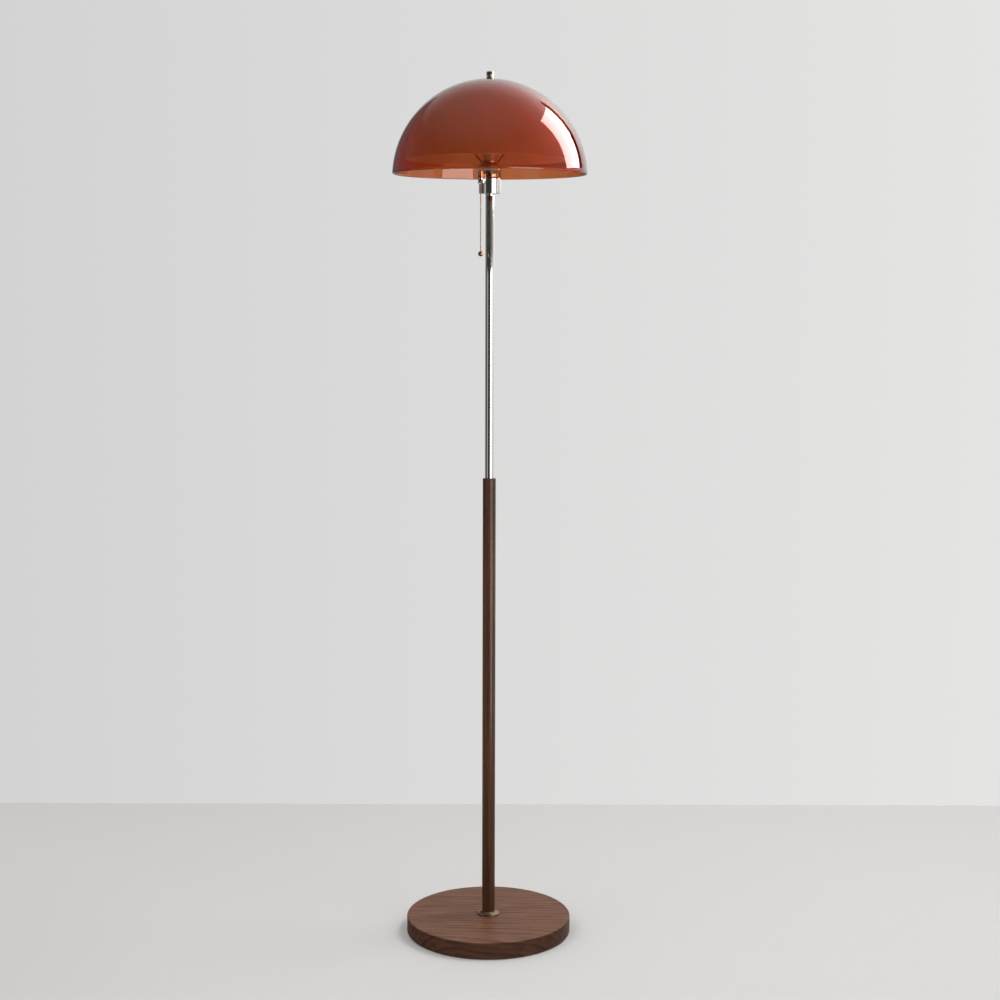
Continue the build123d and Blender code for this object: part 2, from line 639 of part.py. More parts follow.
def make_ratchet_wheel():
    """Saw-toothed wheel beside the lever, with the contact bar across its hub."""
    radius = RATCHET_DIAMETER / 2
    root = radius - TOOTH_DEPTH
    undercut = 0.06
    outline = []
    for tooth in range(RATCHET_TEETH):
        angle = 2 * math.pi * tooth / RATCHET_TEETH
        outline.append((radius * math.cos(angle), radius * math.sin(angle)))
        outline.append((root * math.cos(angle + undercut), root * math.sin(angle + undercut)))
    wheel = extrude(make_face(Polyline(*outline, close=True)), WHEEL_THICKNESS)
    wheel += disc(2.3, 0, 2 * WHEEL_THICKNESS)
    wheel += Pos(0, 0, 1.4 * WHEEL_THICKNESS) * Box(6.6, 2.0, 0.8 * WHEEL_THICKNESS)
    wheel -= Cylinder(PIN_DIAMETER / 2 + THREAD_GAP, 8 * WHEEL_THICKNESS)
    return at_pivot() * Pos(0, LEVER_THICKNESS / 2 + SIDE_GAP, 0) * Rot(-90, 0, 0) * wheel


def make_lever_spring():
    """Closed torsion coil on the pin that lifts the lever again."""
    near = -LEVER_THICKNESS / 2 - SIDE_GAP
    far = near - 2.8
    coil = across_pin(2.4, far, near) - across_pin(PIN_DIAMETER / 2 + 0.4, far - 1, near + 1)
    return at_pivot() * coil


def bead_string(first, last, tail, head):
    """Turned run of beads on a wire, hung where the chain hangs.

    Beads are counted in pitches above the point that the chain swings about. The wire goes
    on for the tail below the first bead and for the head above the last one.
    """
    wire = CHAIN_WIRE / 2
    bottom = SWING_HEIGHT + first * BEAD_PITCH - BEAD_HALF - tail
    top = SWING_HEIGHT + last * BEAD_PITCH + BEAD_HALF + head
    steps = [(0, bottom), (wire, bottom)]
    for count in range(first, last + 1):
        height = SWING_HEIGHT + count * BEAD_PITCH
        steps += [(wire, height - BEAD_HALF), BEAD_RADIUS, (wire, height + BEAD_HALF)]
    return Pos(CHAIN_X, CHAIN_Y, 0) * turned(*steps, (wire, top), (0, top))


def make_chain_top():
    """Head of the chain: the beads inside the bell, and one above the lever's eye."""
    return bead_string(1, 2, 0.3, 3) + bead_string(4, 4, 3, 0.3)


def make_chain_link():
    """The single bead at the bell's mouth that the chain swings about."""
    return bead_string(0, 0, 0.25, 0.25)


def make_pull_chain():
    """The free length of bead chain below the bell."""
    return bead_string(-CHAIN_BEADS, -1, CHAIN_TAIL, 0.25)


def make_pull_ball():
    """Turned ball on the end of the chain, with a short neck."""
    radius = BALL_DIAMETER / 2
    neck = BALL_NECK_DIAMETER / 2
    shoulder = CHAIN_END - 1.0
    centre = shoulder - sphere_height(neck, radius)
    return Pos(CHAIN_X, CHAIN_Y, 0) * turned((0, centre - radius), radius, (radius, centre),
                                             radius, (neck, shoulder), (neck, CHAIN_END),
                                             (0, CHAIN_END))


# ---------------------------------------------------------------- the whole lamp

PIECES = {
    "base_pad": make_base_pad,
    "base_disc": make_base_disc,
    "base_weight": make_base_weight,
    "weight_screws": make_weight_screws,
    "cord_grommet": make_cord_grommet,
    "base_washer": make_base_washer,
    "base_lock_washer": make_base_lock_washer,
    "base_nut": make_base_nut,
    "pole_flange": make_pole_flange,
    "wood_pole": make_wood_pole,
    "tie_pipe": make_tie_pipe,
    "tube_lower_plug": make_tube_lower_plug,
    "upper_tube": make_upper_tube,
    "tube_upper_plug": make_tube_upper_plug,
    "socket_cup": make_socket_cup,
    "cup_nipple": make_cup_nipple,
    "harp_saddle": make_harp_saddle,
    "cup_lock_nut": make_cup_lock_nut,
    "socket_cap": make_socket_cap,
    "switch_block": make_switch_block,
    "terminal_screws": make_terminal_screws,
    "centre_contact": make_centre_contact,
    "screw_shell": make_screw_shell,
    "insulating_sleeve": make_insulating_sleeve,
    "socket_shell": make_socket_shell,
    "bulb_cap": make_bulb_cap,
    "bulb_glass": make_bulb_glass,
    "harp": make_harp,
    "diffuser": make_diffuser,
    "shade_spacer": make_shade_spacer,
    "shade": make_shade,
    "shade_washer": make_shade_washer,
    "finial": make_finial,
    "chain_bell": make_chain_bell,
    "switch_pin": make_switch_pin,
    "pull_lever": make_pull_lever,
    "ratchet_wheel": make_ratchet_wheel,
    "lever_spring": make_lever_spring,
    "chain_top": make_chain_top,
    "chain_link": make_chain_link,
    "pull_chain": make_pull_chain,
    "pull_ball": make_pull_ball,
}


def main():
    """Make every piece and write each one to its own file."""
    os.makedirs("parts", exist_ok=True)
    for name, make in PIECES.items():
        shape = make()
        if isinstance(shape, list):
            shape = Compound(children=shape)
        shape.label = name
        export_step(shape, f"parts/{name}.step")


main()
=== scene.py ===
import logging
import math
from dataclasses import dataclass
from enum import Enum
from typing import Optional, Sequence, Union

import bmesh
import bpy
from mathutils import Matrix, Vector


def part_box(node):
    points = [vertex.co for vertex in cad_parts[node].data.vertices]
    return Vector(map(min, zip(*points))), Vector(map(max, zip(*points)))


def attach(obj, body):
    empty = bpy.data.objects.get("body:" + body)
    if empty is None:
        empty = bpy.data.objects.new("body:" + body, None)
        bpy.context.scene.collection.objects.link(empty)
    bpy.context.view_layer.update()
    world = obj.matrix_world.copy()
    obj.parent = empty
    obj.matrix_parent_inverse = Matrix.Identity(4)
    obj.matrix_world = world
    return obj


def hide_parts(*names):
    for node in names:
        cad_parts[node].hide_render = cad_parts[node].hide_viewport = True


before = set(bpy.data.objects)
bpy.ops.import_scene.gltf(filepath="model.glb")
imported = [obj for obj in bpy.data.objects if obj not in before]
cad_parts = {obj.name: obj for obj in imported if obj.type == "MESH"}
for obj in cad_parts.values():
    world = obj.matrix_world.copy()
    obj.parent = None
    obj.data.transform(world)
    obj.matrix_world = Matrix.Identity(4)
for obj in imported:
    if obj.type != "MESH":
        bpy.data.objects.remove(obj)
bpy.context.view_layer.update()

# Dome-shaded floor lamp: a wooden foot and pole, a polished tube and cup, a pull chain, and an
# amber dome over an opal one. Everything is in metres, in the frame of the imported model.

LOG = logging.getLogger("lamp")

Pair = tuple[float, float]
Triple = tuple[float, float, float]
Piece = bpy.types.Object
Socket = bpy.types.NodeSocket
Value = Union[float, Sequence[float], Socket]

MM = 0.001
UP = Vector((0, 0, 1))
FULL_TURN = 2 * math.pi
DOME_SEGMENTS = 192
TURNED_SEGMENTS = 96
KNOB_SEGMENTS = 64
SHARP_ANGLE = math.radians(32)
WELD = 0.002 * MM
THREAD_PITCH = 3.63 * MM


class Body(Enum):
    """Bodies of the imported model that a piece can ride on."""

    STAND = "stand"
    DOMES = "shade_assembly"
    FINIAL = "finial_knob"
    LEVER = "switch_lever"
    RATCHET = "switch_ratchet"
    CHAIN_HEAD = "chain_head"
    CHAIN_SWIVEL = "chain_swivel"
    CHAIN_DROP = "chain_drop"


# ---------------------------------------------------------------- meshes

def node_box(node: str) -> tuple[Vector, Vector]:
    """Give a node's lowest and highest corners at rest, in metres."""
    low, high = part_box(node)
    return Vector(low), Vector(high)


def placed(mesh: bmesh.types.BMesh, name: str) -> Piece:
    """Put a mesh into the scene as it is.

    Args:
        mesh: The mesh, which is freed here.
        name: Name of the new piece.

    Returns:
        The new piece.
    """
    data = bpy.data.meshes.new(name)
    mesh.to_mesh(data)
    mesh.free()
    piece = bpy.data.objects.new(name, data)
    bpy.context.scene.collection.objects.link(piece)
    return piece


def finished(mesh: bmesh.types.BMesh, name: str) -> Piece:
    """Close a mesh's seams, turn its faces outwards and put it into the scene.

    Args:
        mesh: The mesh, which is freed here.
        name: Name of the new piece.

    Returns:
        The new piece, smooth-shaded between its sharp edges.
    """
    bmesh.ops.remove_doubles(mesh, verts=mesh.verts, dist=WELD)
    bmesh.ops.recalc_face_normals(mesh, faces=mesh.faces)
    piece = placed(mesh, name)
    for face in piece.data.polygons:
        face.use_smooth = True
    piece.data.set_sharp_from_angle(angle=SHARP_ANGLE)
    return piece


class Profile:
    """Half outline of a turned piece, drawn as radius and height in the X-Z plane."""

    def __init__(self, start: Pair) -> None:
        """Start the outline at a point.

        Args:
            start: Radius and height of the first point.
        """
        self.mesh = bmesh.new()
        self.first = self.mesh.verts.new((start[0], 0, start[1]))
        self.tip = self.first

    def line(self, *points: Pair) -> "Profile":
        """Carry the outline on through points, in straight sides.

        Args:
            points: Radius and height of each point.

        Returns:
            The outline itself.
        """
        for radius, height in points:
            grown = bmesh.ops.extrude_vert_indiv(self.mesh, verts=[self.tip])
            self.tip = grown["verts"][0]
            self.tip.co = (radius, 0, height)
        return self

    def arc(self, centre: Pair, turn: float, steps: int, squeeze: float = 1.0) -> "Profile":
        """Carry the outline on along an arc.

        Args:
            centre: Radius and height of the arc's centre.
            turn: Angle in degrees, anticlockwise as the outline is drawn.
            steps: Number of sides.
            squeeze: Height of the arc against a round one, which makes it part of an ellipse.

        Returns:
            The outline itself.
        """
        middle = Vector((centre[0], 0, centre[1]))
        self.tip.co.z = middle.z + (self.tip.co.z - middle.z) / squeeze
        before = set(self.mesh.verts)
        swung = bmesh.ops.spin(
            self.mesh, geom=[self.tip], cent=middle, axis=(0, -1, 0), dvec=(0, 0, 0),
            angle=math.radians(turn), steps=steps, use_merge=False, use_duplicate=False)
        fresh = [vert for vert in self.mesh.verts if vert not in before] + [self.tip]
        self.tip = next(item for item in swung["geom_last"]
                        if isinstance(item, bmesh.types.BMVert))
        bmesh.ops.scale(self.mesh, vec=(1, 1, squeeze), space=Matrix.Translation(-middle),
                        verts=fresh)
        return self

    def bend(self, end: Pair, radius: float, steps: int = 6) -> "Profile":
        """Carry the outline on to a point along an arc of a given radius.

        Args:
            end: Radius and height of the point.
            radius: The arc's radius, below 0 where it turns clockwise as it is drawn.
            steps: Number of sides.

        Returns:
            The outline itself.
        """
        start = Vector((self.tip.co.x, self.tip.co.z))
        chord = Vector(end) - start
        left = Vector((-chord.y, chord.x)).normalized() * math.copysign(1.0, radius)
        half = min(chord.length / 2, abs(radius))
        centre = start + chord / 2 + left * math.sqrt(radius ** 2 - half ** 2)
        turn = 2 * math.degrees(math.asin(half / abs(radius)))
        return self.arc(tuple(centre), math.copysign(turn, radius), steps)

    def close(self) -> "Profile":
        """Join the outline's last point to its first, and return the outline."""
        self.mesh.edges.new((self.tip, self.first))
        return self

    def turned(self, name: str, segments: int = TURNED_SEGMENTS,
               at: Sequence[float] = (0, 0, 0)) -> Piece:
        """Turn the outline about an upright axis into a piece.

        Args:
            name: Name of the new piece.
            segments: Number of steps round the axis.
            at: Place of the axis, and the height that the outline's heights count from.

        Returns:
            The new piece.
        """
        bmesh.ops.spin(
            self.mesh, geom=self.mesh.verts[:] + self.mesh.edges[:], cent=(0, 0, 0), axis=UP,
            dvec=(0, 0, 0), angle=FULL_TURN, steps=segments, use_merge=True,
            use_duplicate=False)
        bmesh.ops.translate(self.mesh, vec=Vector(at), verts=self.mesh.verts)
        return finished(self.mesh, name)


# ---------------------------------------------------------------- node trees

class Wiring:
    """A node tree that is being wired, of a material, a group or the world."""

    def __init__(self, tree: bpy.types.NodeTree) -> None:
        """Take up a node tree."""
        self.tree = tree

    def put(self, target: Socket, value: Value) -> None:
        """Set a socket, or link another one to it.

        Args:
            target: The input socket.
            value: A constant, or the socket to link from.
        """
        if isinstance(value, bpy.types.NodeSocket):
            self.tree.links.new(value, target)
        elif hasattr(target.default_value, "__len__") and len(target.default_value) == 4:
            target.default_value = (*tuple(value)[:3], 1.0)
        else:
            target.default_value = value

    def node(self, kind: str, inputs: Optional[dict[Union[str, int], Value]] = None,
             **settings: object) -> bpy.types.Node:
        """Add a node, set it up and wire its inputs.

        Args:
            kind: Blender's name for the node's type, without its "ShaderNode" part.
            inputs: Constant or source socket for each input, by name or number.
            settings: Values of the node's own properties.

        Returns:
            The new node.
        """
        made = self.tree.nodes.new("ShaderNode" + kind)
        for key, setting in settings.items():
            setattr(made, key, setting)
        for key, value in (inputs or {}).items():
            self.put(made.inputs[key], value)
        return made

    def maths(self, operation: str, *values: Value) -> Socket:
        """Add a Math node with its inputs in order, and return its output."""
        return self.node("Math", dict(enumerate(values)), operation=operation).outputs[0]

    def remap(self, value: Value, low: float, high: float, to_low: Value, to_high: Value,
              shape: str = "SMOOTHSTEP") -> Socket:
        """Map one range of a value on to another, without going beyond it."""
        return self.node("MapRange", {0: value, 1: low, 2: high, 3: to_low, 4: to_high},
                         interpolation_type=shape).outputs[0]

    def blend(self, factor: Value, first: Value, second: Value) -> Socket:
        """Mix two colours.

        Args:
            factor: Share of the second colour.
            first: First colour.
            second: Second colour.

        Returns:
            The mixed colour's socket.
        """
        mixer = self.node("Mix", data_type="RGBA")
        self.put(mixer.inputs[0], factor)
        self.put(mixer.inputs[6], first)
        self.put(mixer.inputs[7], second)
        return mixer.outputs[2]

    def vectors(self, operation: str, first: Value, second: Value = (0, 0, 0)) -> Socket:
        """Add a Vector Math node.

        Args:
            operation: The node's operation.
            first: Its first vector.
            second: Its second vector, or the factor where it scales the first.

        Returns:
            Its output socket.
        """
        key = "Scale" if operation == "SCALE" else 1
        made = self.node("VectorMath", {0: first, key: second}, operation=operation)
        return made.outputs["Value" if operation in ("LENGTH", "DOT_PRODUCT") else "Vector"]

    def choose(self, factor: Value, first: bpy.types.Node, second: bpy.types.Node) -> bpy.types.Node:
        """Mix two shaders, where the factor is the share of the second."""
        return self.node("MixShader", {0: factor, 1: first.outputs[0], 2: second.outputs[0]})

    def end(self, kind: str, **shaders: bpy.types.Node) -> None:
        """Wire shaders to the tree's output node, which is made where there is none.

        Args:
            kind: The output node's type, without its "ShaderNode" part.
            shaders: Shader for each of its inputs.
        """
        found = [node for node in self.tree.nodes if node.bl_idname == "ShaderNode" + kind]
        out = found[0] if found else self.node(kind)
        for name, shader in shaders.items():
            self.tree.links.new(shader.outputs[0], out.inputs[name])

    def noise(self, place: Socket, scale: float, detail: float = 3.0,
              roughness: float = 0.5) -> Socket:
        """Add a Noise Texture whose scale is in cycles per metre of the place."""
        return self.node("TexNoise", {"Vector": place, "Scale": scale, "Detail": detail,
                                      "Roughness": roughness}).outputs[0]

    def stretched(self, place: Socket, scale: Triple, turn: Triple = (0, 0, 0),
                  shift: Triple = (0, 0, 0)) -> Socket:
        """Shift coordinates, turn them by angles in degrees and stretch them."""
        return self.node("Mapping", {"Vector": place, "Location": shift, "Scale": scale,
                                     "Rotation": tuple(map(math.radians, turn))}).outputs[0]


def blank_material(name: str) -> tuple[bpy.types.Material, Wiring]:
    """Make a material with a plain Principled BSDF.

    Args:
        name: Its name.

    Returns:
        The material and the wiring of its node tree.
    """
    made = bpy.data.materials.new(name)
    made.use_nodes = True
    return made, Wiring(made.node_tree)


def new_group(name: str, takes: dict[str, Value], gives: dict[str, str]) -> tuple[
        Wiring, bpy.types.Node, bpy.types.Node]:
    """Start a shader node group.

    Args:
        name: The group's name.
        takes: Default value of each number that it takes, besides a vector called Place.
        gives: Socket type of each output.

    Returns:
        The wiring, and the group's input and output nodes.
    """
    tree = bpy.data.node_groups.new(name, "ShaderNodeTree")
    tree.interface.new_socket("Place", in_out="INPUT", socket_type="NodeSocketVector")
    for key, default in takes.items():
        kind = "NodeSocketColor" if isinstance(default, tuple) else "NodeSocketFloat"
        socket = tree.interface.new_socket(key, in_out="INPUT", socket_type=kind)
        socket.default_value = (*default, 1.0) if isinstance(default, tuple) else default
    for key, kind in gives.items():
        tree.interface.new_socket(key, in_out="OUTPUT", socket_type=kind)
    wiring = Wiring(tree)
    return wiring, tree.nodes.new("NodeGroupInput"), tree.nodes.new("NodeGroupOutput")


def handling_group() -> bpy.types.NodeTree:
    """Build the group for traces of handling, which every hard finish uses.

    Returns:
        The group. Smudge and Scratch are masks from 0 to 1, and Mottle is a fine noise.
    """
    wiring, takes, gives = new_group(
        "handling", {"Size": 1.0}, {"Smudge": "NodeSocketFloat", "Scratch": "NodeSocketFloat",
                                    "Mottle": "NodeSocketFloat"})
    place = wiring.vectors("SCALE", takes.outputs["Place"], takes.outputs["Size"])
    smudge = wiring.noise(place, 38, 4.0, 0.55)
    wiring.put(gives.inputs["Smudge"], wiring.remap(smudge, 0.42, 0.66, 0.0, 1.0))
    swirl = wiring.stretched(place, (900, 900, 60), (0, 0, 25))
    scratch = wiring.noise(swirl, 1.0, 2.0, 0.6)
    wiring.put(gives.inputs["Scratch"], wiring.remap(scratch, 0.6, 0.72, 0.0, 1.0))
    wiring.put(gives.inputs["Mottle"], wiring.noise(place, 420, 5.0, 0.6))
    return wiring.tree


def wood_group() -> bpy.types.NodeTree:
    """Build the group for wood, in coordinates whose Z runs along the log.

    Returns:
        The group. It gives the colour, with painted shade on faces that don't look up or down, a
        roughness and a height for the pores.
    """
    wiring, takes, gives = new_group(
        "wood", {"Ring": 0.004, "Light": (0.2, 0.1, 0.06), "Dark": (0.05, 0.02, 0.01),
                 "Contrast": 0.6, "Upward": 1.0, "SideShade": 1.0},
        {"Color": "NodeSocketColor", "Roughness": "NodeSocketFloat",
         "Height": "NodeSocketFloat"})
    place = takes.outputs["Place"]
    slow = wiring.node("TexNoise", {"Vector": wiring.stretched(place, (9, 9, 1.6)),
                                    "Scale": 1.0, "Detail": 2.0}).outputs[1]
    bent = wiring.vectors("SCALE", wiring.vectors("SUBTRACT", slow, (0.5, 0.5, 0.5)), 0.018)
    across = wiring.vectors("MULTIPLY", wiring.vectors("ADD", place, bent), (1, 1, 0))
    distance = wiring.vectors("LENGTH", across)
    rings = wiring.maths("DIVIDE", distance, takes.outputs["Ring"])
    rough_edge = wiring.noise(wiring.stretched(place, (260, 260, 18)), 1.0, 3.0)
    rings = wiring.maths("ADD", rings, wiring.maths("MULTIPLY", rough_edge, 0.5))
    phase = wiring.maths("FRACT", rings)
    late = wiring.remap(phase, 0.25, 0.92, 0.0, 1.0)
    early = wiring.remap(phase, 0.93, 1.0, 1.0, 0.0)
    band = wiring.maths("MULTIPLY", late, early)
    year = wiring.noise(wiring.node("CombineXYZ", {0: wiring.maths("FLOOR", rings)}).outputs[0],
                        3.1, 0.0)
    band = wiring.maths("MULTIPLY", band, wiring.remap(year, 0.3, 0.7, 0.35, 1.0))
    fibre = wiring.noise(wiring.stretched(place, (1500, 1500, 42)), 1.0, 4.0, 0.65)
    streak = wiring.noise(wiring.stretched(place, (110, 110, 4)), 1.0, 3.0)
    pores = wiring.noise(wiring.stretched(place, (2300, 2300, 90)), 1.0, 1.0)
    pore = wiring.remap(pores, 0.62, 0.72, 0.0, 1.0)
    figure = wiring.maths("ADD", band, wiring.remap(streak, 0.3, 0.7, 0.0, 0.8))
    figure = wiring.maths("ADD", figure, wiring.remap(fibre, 0.35, 0.7, -0.2, 0.3, "LINEAR"))
    figure = wiring.maths("MULTIPLY_ADD", pore, 0.35, figure)
    tone = wiring.node("Math", {0: figure, 1: takes.outputs["Contrast"]},
                       operation="MULTIPLY", use_clamp=True).outputs[0]
    colour = wiring.blend(tone, takes.outputs["Light"], takes.outputs["Dark"])
    # Painted shade: faces that don't look up or down keep only the SideShade share of their colour,
    # standing for light falling from above and partly for darker end grain.
    edge = wiring.remap(takes.outputs["Upward"], 0.1, 0.9, takes.outputs["SideShade"], 1.0)
    wiring.put(gives.inputs["Color"], wiring.blend(edge, (0, 0, 0), colour))
    wiring.put(gives.inputs["Roughness"],
               wiring.maths("ADD", wiring.remap(fibre, 0.3, 0.7, 0.0, 0.12, "LINEAR"),
                            wiring.maths("MULTIPLY", pore, 0.25)))
    wiring.put(gives.inputs["Height"],
               wiring.maths("SUBTRACT", wiring.maths("MULTIPLY", fibre, 0.35), pore))
    return wiring.tree


class Shared:
    """The node groups that several finishes place, each built once."""

    groups: dict[str, bpy.types.NodeTree] = {}

    @classmethod
    def group(cls, name: str) -> bpy.types.NodeTree:
        """Give a shared group, and build it the first time.

        Args:
            name: Either "handling" or "wood".

        Returns:
            The group's tree.
        """
        if name not in cls.groups:
            cls.groups[name] = {"handling": handling_group, "wood": wood_group}[name]()
        return cls.groups[name]


# ---------------------------------------------------------------- finishes

@dataclass(frozen=True)
class Finish:
    """A surface finish: the name of its material, and a slot name that nothing in the script reads.
    """

    name: str
    slot: str

    def wire(self, wiring: Wiring, shader: bpy.types.Node, place: Socket) -> None:
        """Wire the material.

        Args:
            wiring: The material's node tree.
            shader: Its Principled BSDF.
            place: Object coordinates.
        """
        raise NotImplementedError

    def material(self) -> bpy.types.Material:
        """Give the finish's material, made the first time it is asked for."""
        title = f"{self.name}_finish"
        known = bpy.data.materials.get(title)
        if known:
            return known
        made, wiring = blank_material(title)
        shader = made.node_tree.nodes["Principled BSDF"]
        place = wiring.node("TexCoord").outputs["Object"]
        self.wire(wiring, shader, place)
        return made

    def dress(self, *pieces: Piece) -> None:
        """Give pieces or nodes this finish.

        Args:
            pieces: The objects to dress.
        """
        for piece in pieces:
            if not piece.material_slots:
                piece.data.materials.append(None)
            for place in piece.material_slots:
                place.material = self.material()

    @staticmethod
    def group(wiring: Wiring, name: str, place: Socket, **values: Value) -> bpy.types.Node:
        """Place a shared group in the material.

        Args:
            wiring: The material's node tree.
            name: The group's name.
            place: Coordinates that it reads.
            values: Its other inputs, by name.

        Returns:
            The group's node.
        """
        made = wiring.node("Group", node_tree=Shared.group(name))
        wiring.put(made.inputs["Place"], place)
        for key, value in values.items():
            wiring.put(made.inputs[key], value)
        return made


@dataclass(frozen=True)
class Plain(Finish):
    """An even material, such as a metal or a moulding, with traces of handling."""

    colour: Triple
    roughness: float
    metallic: float = 0.0
    smudge: float = 0.08
    scratch: float = 0.06
    mottle: float = 0.0
    relief: float = 0.02

    def wire(self, wiring: Wiring, shader: bpy.types.Node, place: Socket) -> None:
        """Wire the material: one colour, mottled, with smudges and hairline scratches.

        Args:
            wiring: The material's node tree.
            shader: Its Principled BSDF.
            place: Object coordinates.
        """
        marks = self.group(wiring, "handling", place)
        shader.inputs["Metallic"].default_value = self.metallic
        mottle = wiring.remap(marks.outputs["Mottle"], 0.35, 0.65, 0.0, 1.0)
        dark = tuple(channel * (1 - self.mottle) for channel in self.colour)
        pale = tuple(min(1.0, channel * (1 + self.mottle)) for channel in self.colour)
        wiring.put(shader.inputs["Base Color"], wiring.blend(mottle, dark, pale))
        rough = wiring.maths("MULTIPLY_ADD", marks.outputs["Smudge"], self.smudge,
                             self.roughness)
        rough = wiring.maths("MULTIPLY_ADD", marks.outputs["Scratch"], self.scratch, rough)
        wiring.put(shader.inputs["Roughness"], rough)
        if self.relief:
            bump = wiring.node("Bump", {"Strength": self.relief, "Distance": 0.1 * MM,
                                        "Height": marks.outputs["Mottle"]})
            wiring.put(shader.inputs["Normal"], bump.outputs["Normal"])


@dataclass(frozen=True)
class Wood(Finish):
    """Oiled walnut, cut from a log whose pith is placed and turned against the piece."""

    light: Triple
    dark: Triple
    ring: float
    pith: Triple
    turn: Triple
    roughness: float
    contrast: float
    # Share of colour that upright faces keep: painted shade on the sides, partly darker end grain.
    edge: float
    gloss: float
    coat: float = 0.0

    def wire(self, wiring: Wiring, shader: bpy.types.Node, place: Socket) -> None:
        """Wire the material: growth rings, fibres and open pores under a satin oil, with painted
        shade on upright faces.

        Args:
            wiring: The material's node tree.
            shader: Its Principled BSDF.
            place: Object coordinates.
        """
        log = wiring.stretched(place, (1, 1, 1), self.turn, self.pith)
        # The normal's upright share drives the painted shade on the sides.
        facing = wiring.node("SeparateXYZ", {0: wiring.node("TexCoord").outputs["Normal"]})
        grain = self.group(wiring, "wood", log, Ring=self.ring, Light=self.light,
                           Dark=self.dark, Contrast=self.contrast, SideShade=self.edge,
                           Upward=wiring.maths("ABSOLUTE", facing.outputs[2]))
        wiring.put(shader.inputs["Base Color"], grain.outputs["Color"])
        wiring.put(shader.inputs["Roughness"],
                   wiring.maths("ADD", grain.outputs["Roughness"], self.roughness))
        bump = wiring.node("Bump", {"Strength": 0.25, "Distance": 0.06 * MM,
                                    "Height": grain.outputs["Height"]})
        wiring.put(shader.inputs["Normal"], bump.outputs["Normal"])
        shader.inputs["Specular IOR Level"].default_value = self.gloss
        shader.inputs["Coat Weight"].default_value = self.coat
        shader.inputs["Coat Roughness"].default_value = 0.16


@dataclass(frozen=True)
class AmberSheet(Finish):
    """Clear amber plastic sheet, formed into a dome and coloured through its depth."""

    depth_tint: Triple
    refraction: float = 1.49
    density: float = 1000.0

    def wire(self, wiring: Wiring, shader: bpy.types.Node, place: Socket) -> None:
        """Wire the material: clear plastic that takes its colour from the way through it.

        Args:
            wiring: The material's node tree.
            shader: Its Principled BSDF.
            place: Object coordinates.
        """
        shader.inputs["Base Color"].default_value = (1, 1, 1, 1)
        shader.inputs["Roughness"].default_value = 0.0
        shader.inputs["Transmission Weight"].default_value = 1.0
        shader.inputs["IOR"].default_value = self.refraction
        marks = self.group(wiring, "handling", place, Size=0.35)
        bump = wiring.node("Bump", {"Strength": 0.02, "Distance": 0.05 * MM,
                                    "Height": marks.outputs["Smudge"]})
        wiring.put(shader.inputs["Normal"], bump.outputs["Normal"])
        rays = wiring.node("LightPath")
        clear = wiring.node("BsdfTransparent")
        sheet = wiring.choose(rays.outputs["Is Shadow Ray"], shader, clear)
        depth = wiring.node("VolumeAbsorption", {"Color": self.depth_tint,
                                                 "Density": self.density})
        wiring.end("OutputMaterial", Surface=sheet, Volume=depth)


@dataclass(frozen=True)
class OpalSheet(Finish):
    """White opal that scatters part of the light through to its other side."""

    colour: Triple
    roughness: float
    through: float

    def wire(self, wiring: Wiring, shader: bpy.types.Node, place: Socket) -> None:
        """Wire the material: an off-white gloss with a faint cloudiness.

        Args:
            wiring: The material's node tree.
            shader: Its Principled BSDF.
            place: Object coordinates.
        """
        marks = self.group(wiring, "handling", place, Size=0.4)
        cloudy = tuple(0.965 * channel for channel in self.colour)
        tone = wiring.blend(marks.outputs["Smudge"], self.colour, cloudy)
        wiring.put(shader.inputs["Base Color"], tone)
        wiring.put(shader.inputs["Roughness"], wiring.maths(
            "MULTIPLY_ADD", marks.outputs["Smudge"], 0.06, self.roughness))
        shader.inputs["Specular IOR Level"].default_value = 1.0
        scatter = wiring.node("BsdfTranslucent", {"Color": tone})
        wiring.end("OutputMaterial", Surface=wiring.choose(self.through, shader, scatter))


AMBER = AmberSheet("amber_sheet", "amber_dome", (0.85, 0.45, 0.09))
OPAL = OpalSheet("opal_sheet", "opal_white", (0.96, 0.95, 0.93), 0.3, 0.6)
BULB_OPAL = OpalSheet("bulb_opal", "opal_bulb", (0.9, 0.89, 0.87), 0.3, 0.35)
# The foot's 0.48 darkens its upright sides: painted shade, partly darker end grain.
FOOT_WOOD = Wood("foot_walnut", "walnut", (0.2, 0.093, 0.058), (0.082, 0.034, 0.019),
                 11 * MM, (0.02, 0.16, 0.03), (-7, 83, 0), 0.42, 0.6, 0.48, 0.07)
POLE_WOOD = Wood("pole_walnut", "walnut", (0.12, 0.05, 0.024), (0.02, 0.007, 0.003),
                 3.2 * MM, (0.03, 0.012, 0.0), (1.0, 0.6, 0), 0.3, 0.6, 1.0, 0.1, 0.4)
NICKEL = Plain("bright_nickel", "bright_nickel", (0.78, 0.76, 0.73), 0.04, 1.0, 0.05, 0.05,
               relief=0.0)
ANTIQUE = Plain("antique_brass", "antique_brass", (0.16, 0.11, 0.07), 0.36, 1.0, 0.12, 0.1,
                mottle=0.12)
POLISHED = Plain("dark_polished_brass", "antique_brass", (0.55, 0.48, 0.4), 0.06, 1.0, 0.06, 0.06,
                 relief=0.0)
BRASS = Plain("plain_brass", "plain_brass", (0.62, 0.43, 0.19), 0.28, 1.0, 0.12, 0.1,
              mottle=0.08)
COPPERY = Plain("chain_brass", "chain_brass", (0.52, 0.29, 0.16), 0.24, 1.0, 0.1, 0.1,
                mottle=0.1)
IRON = Plain("weight_iron", "weight_iron", (0.07, 0.07, 0.072), 0.62, 0.6, 0.1, 0.05,
             mottle=0.25, relief=0.4)
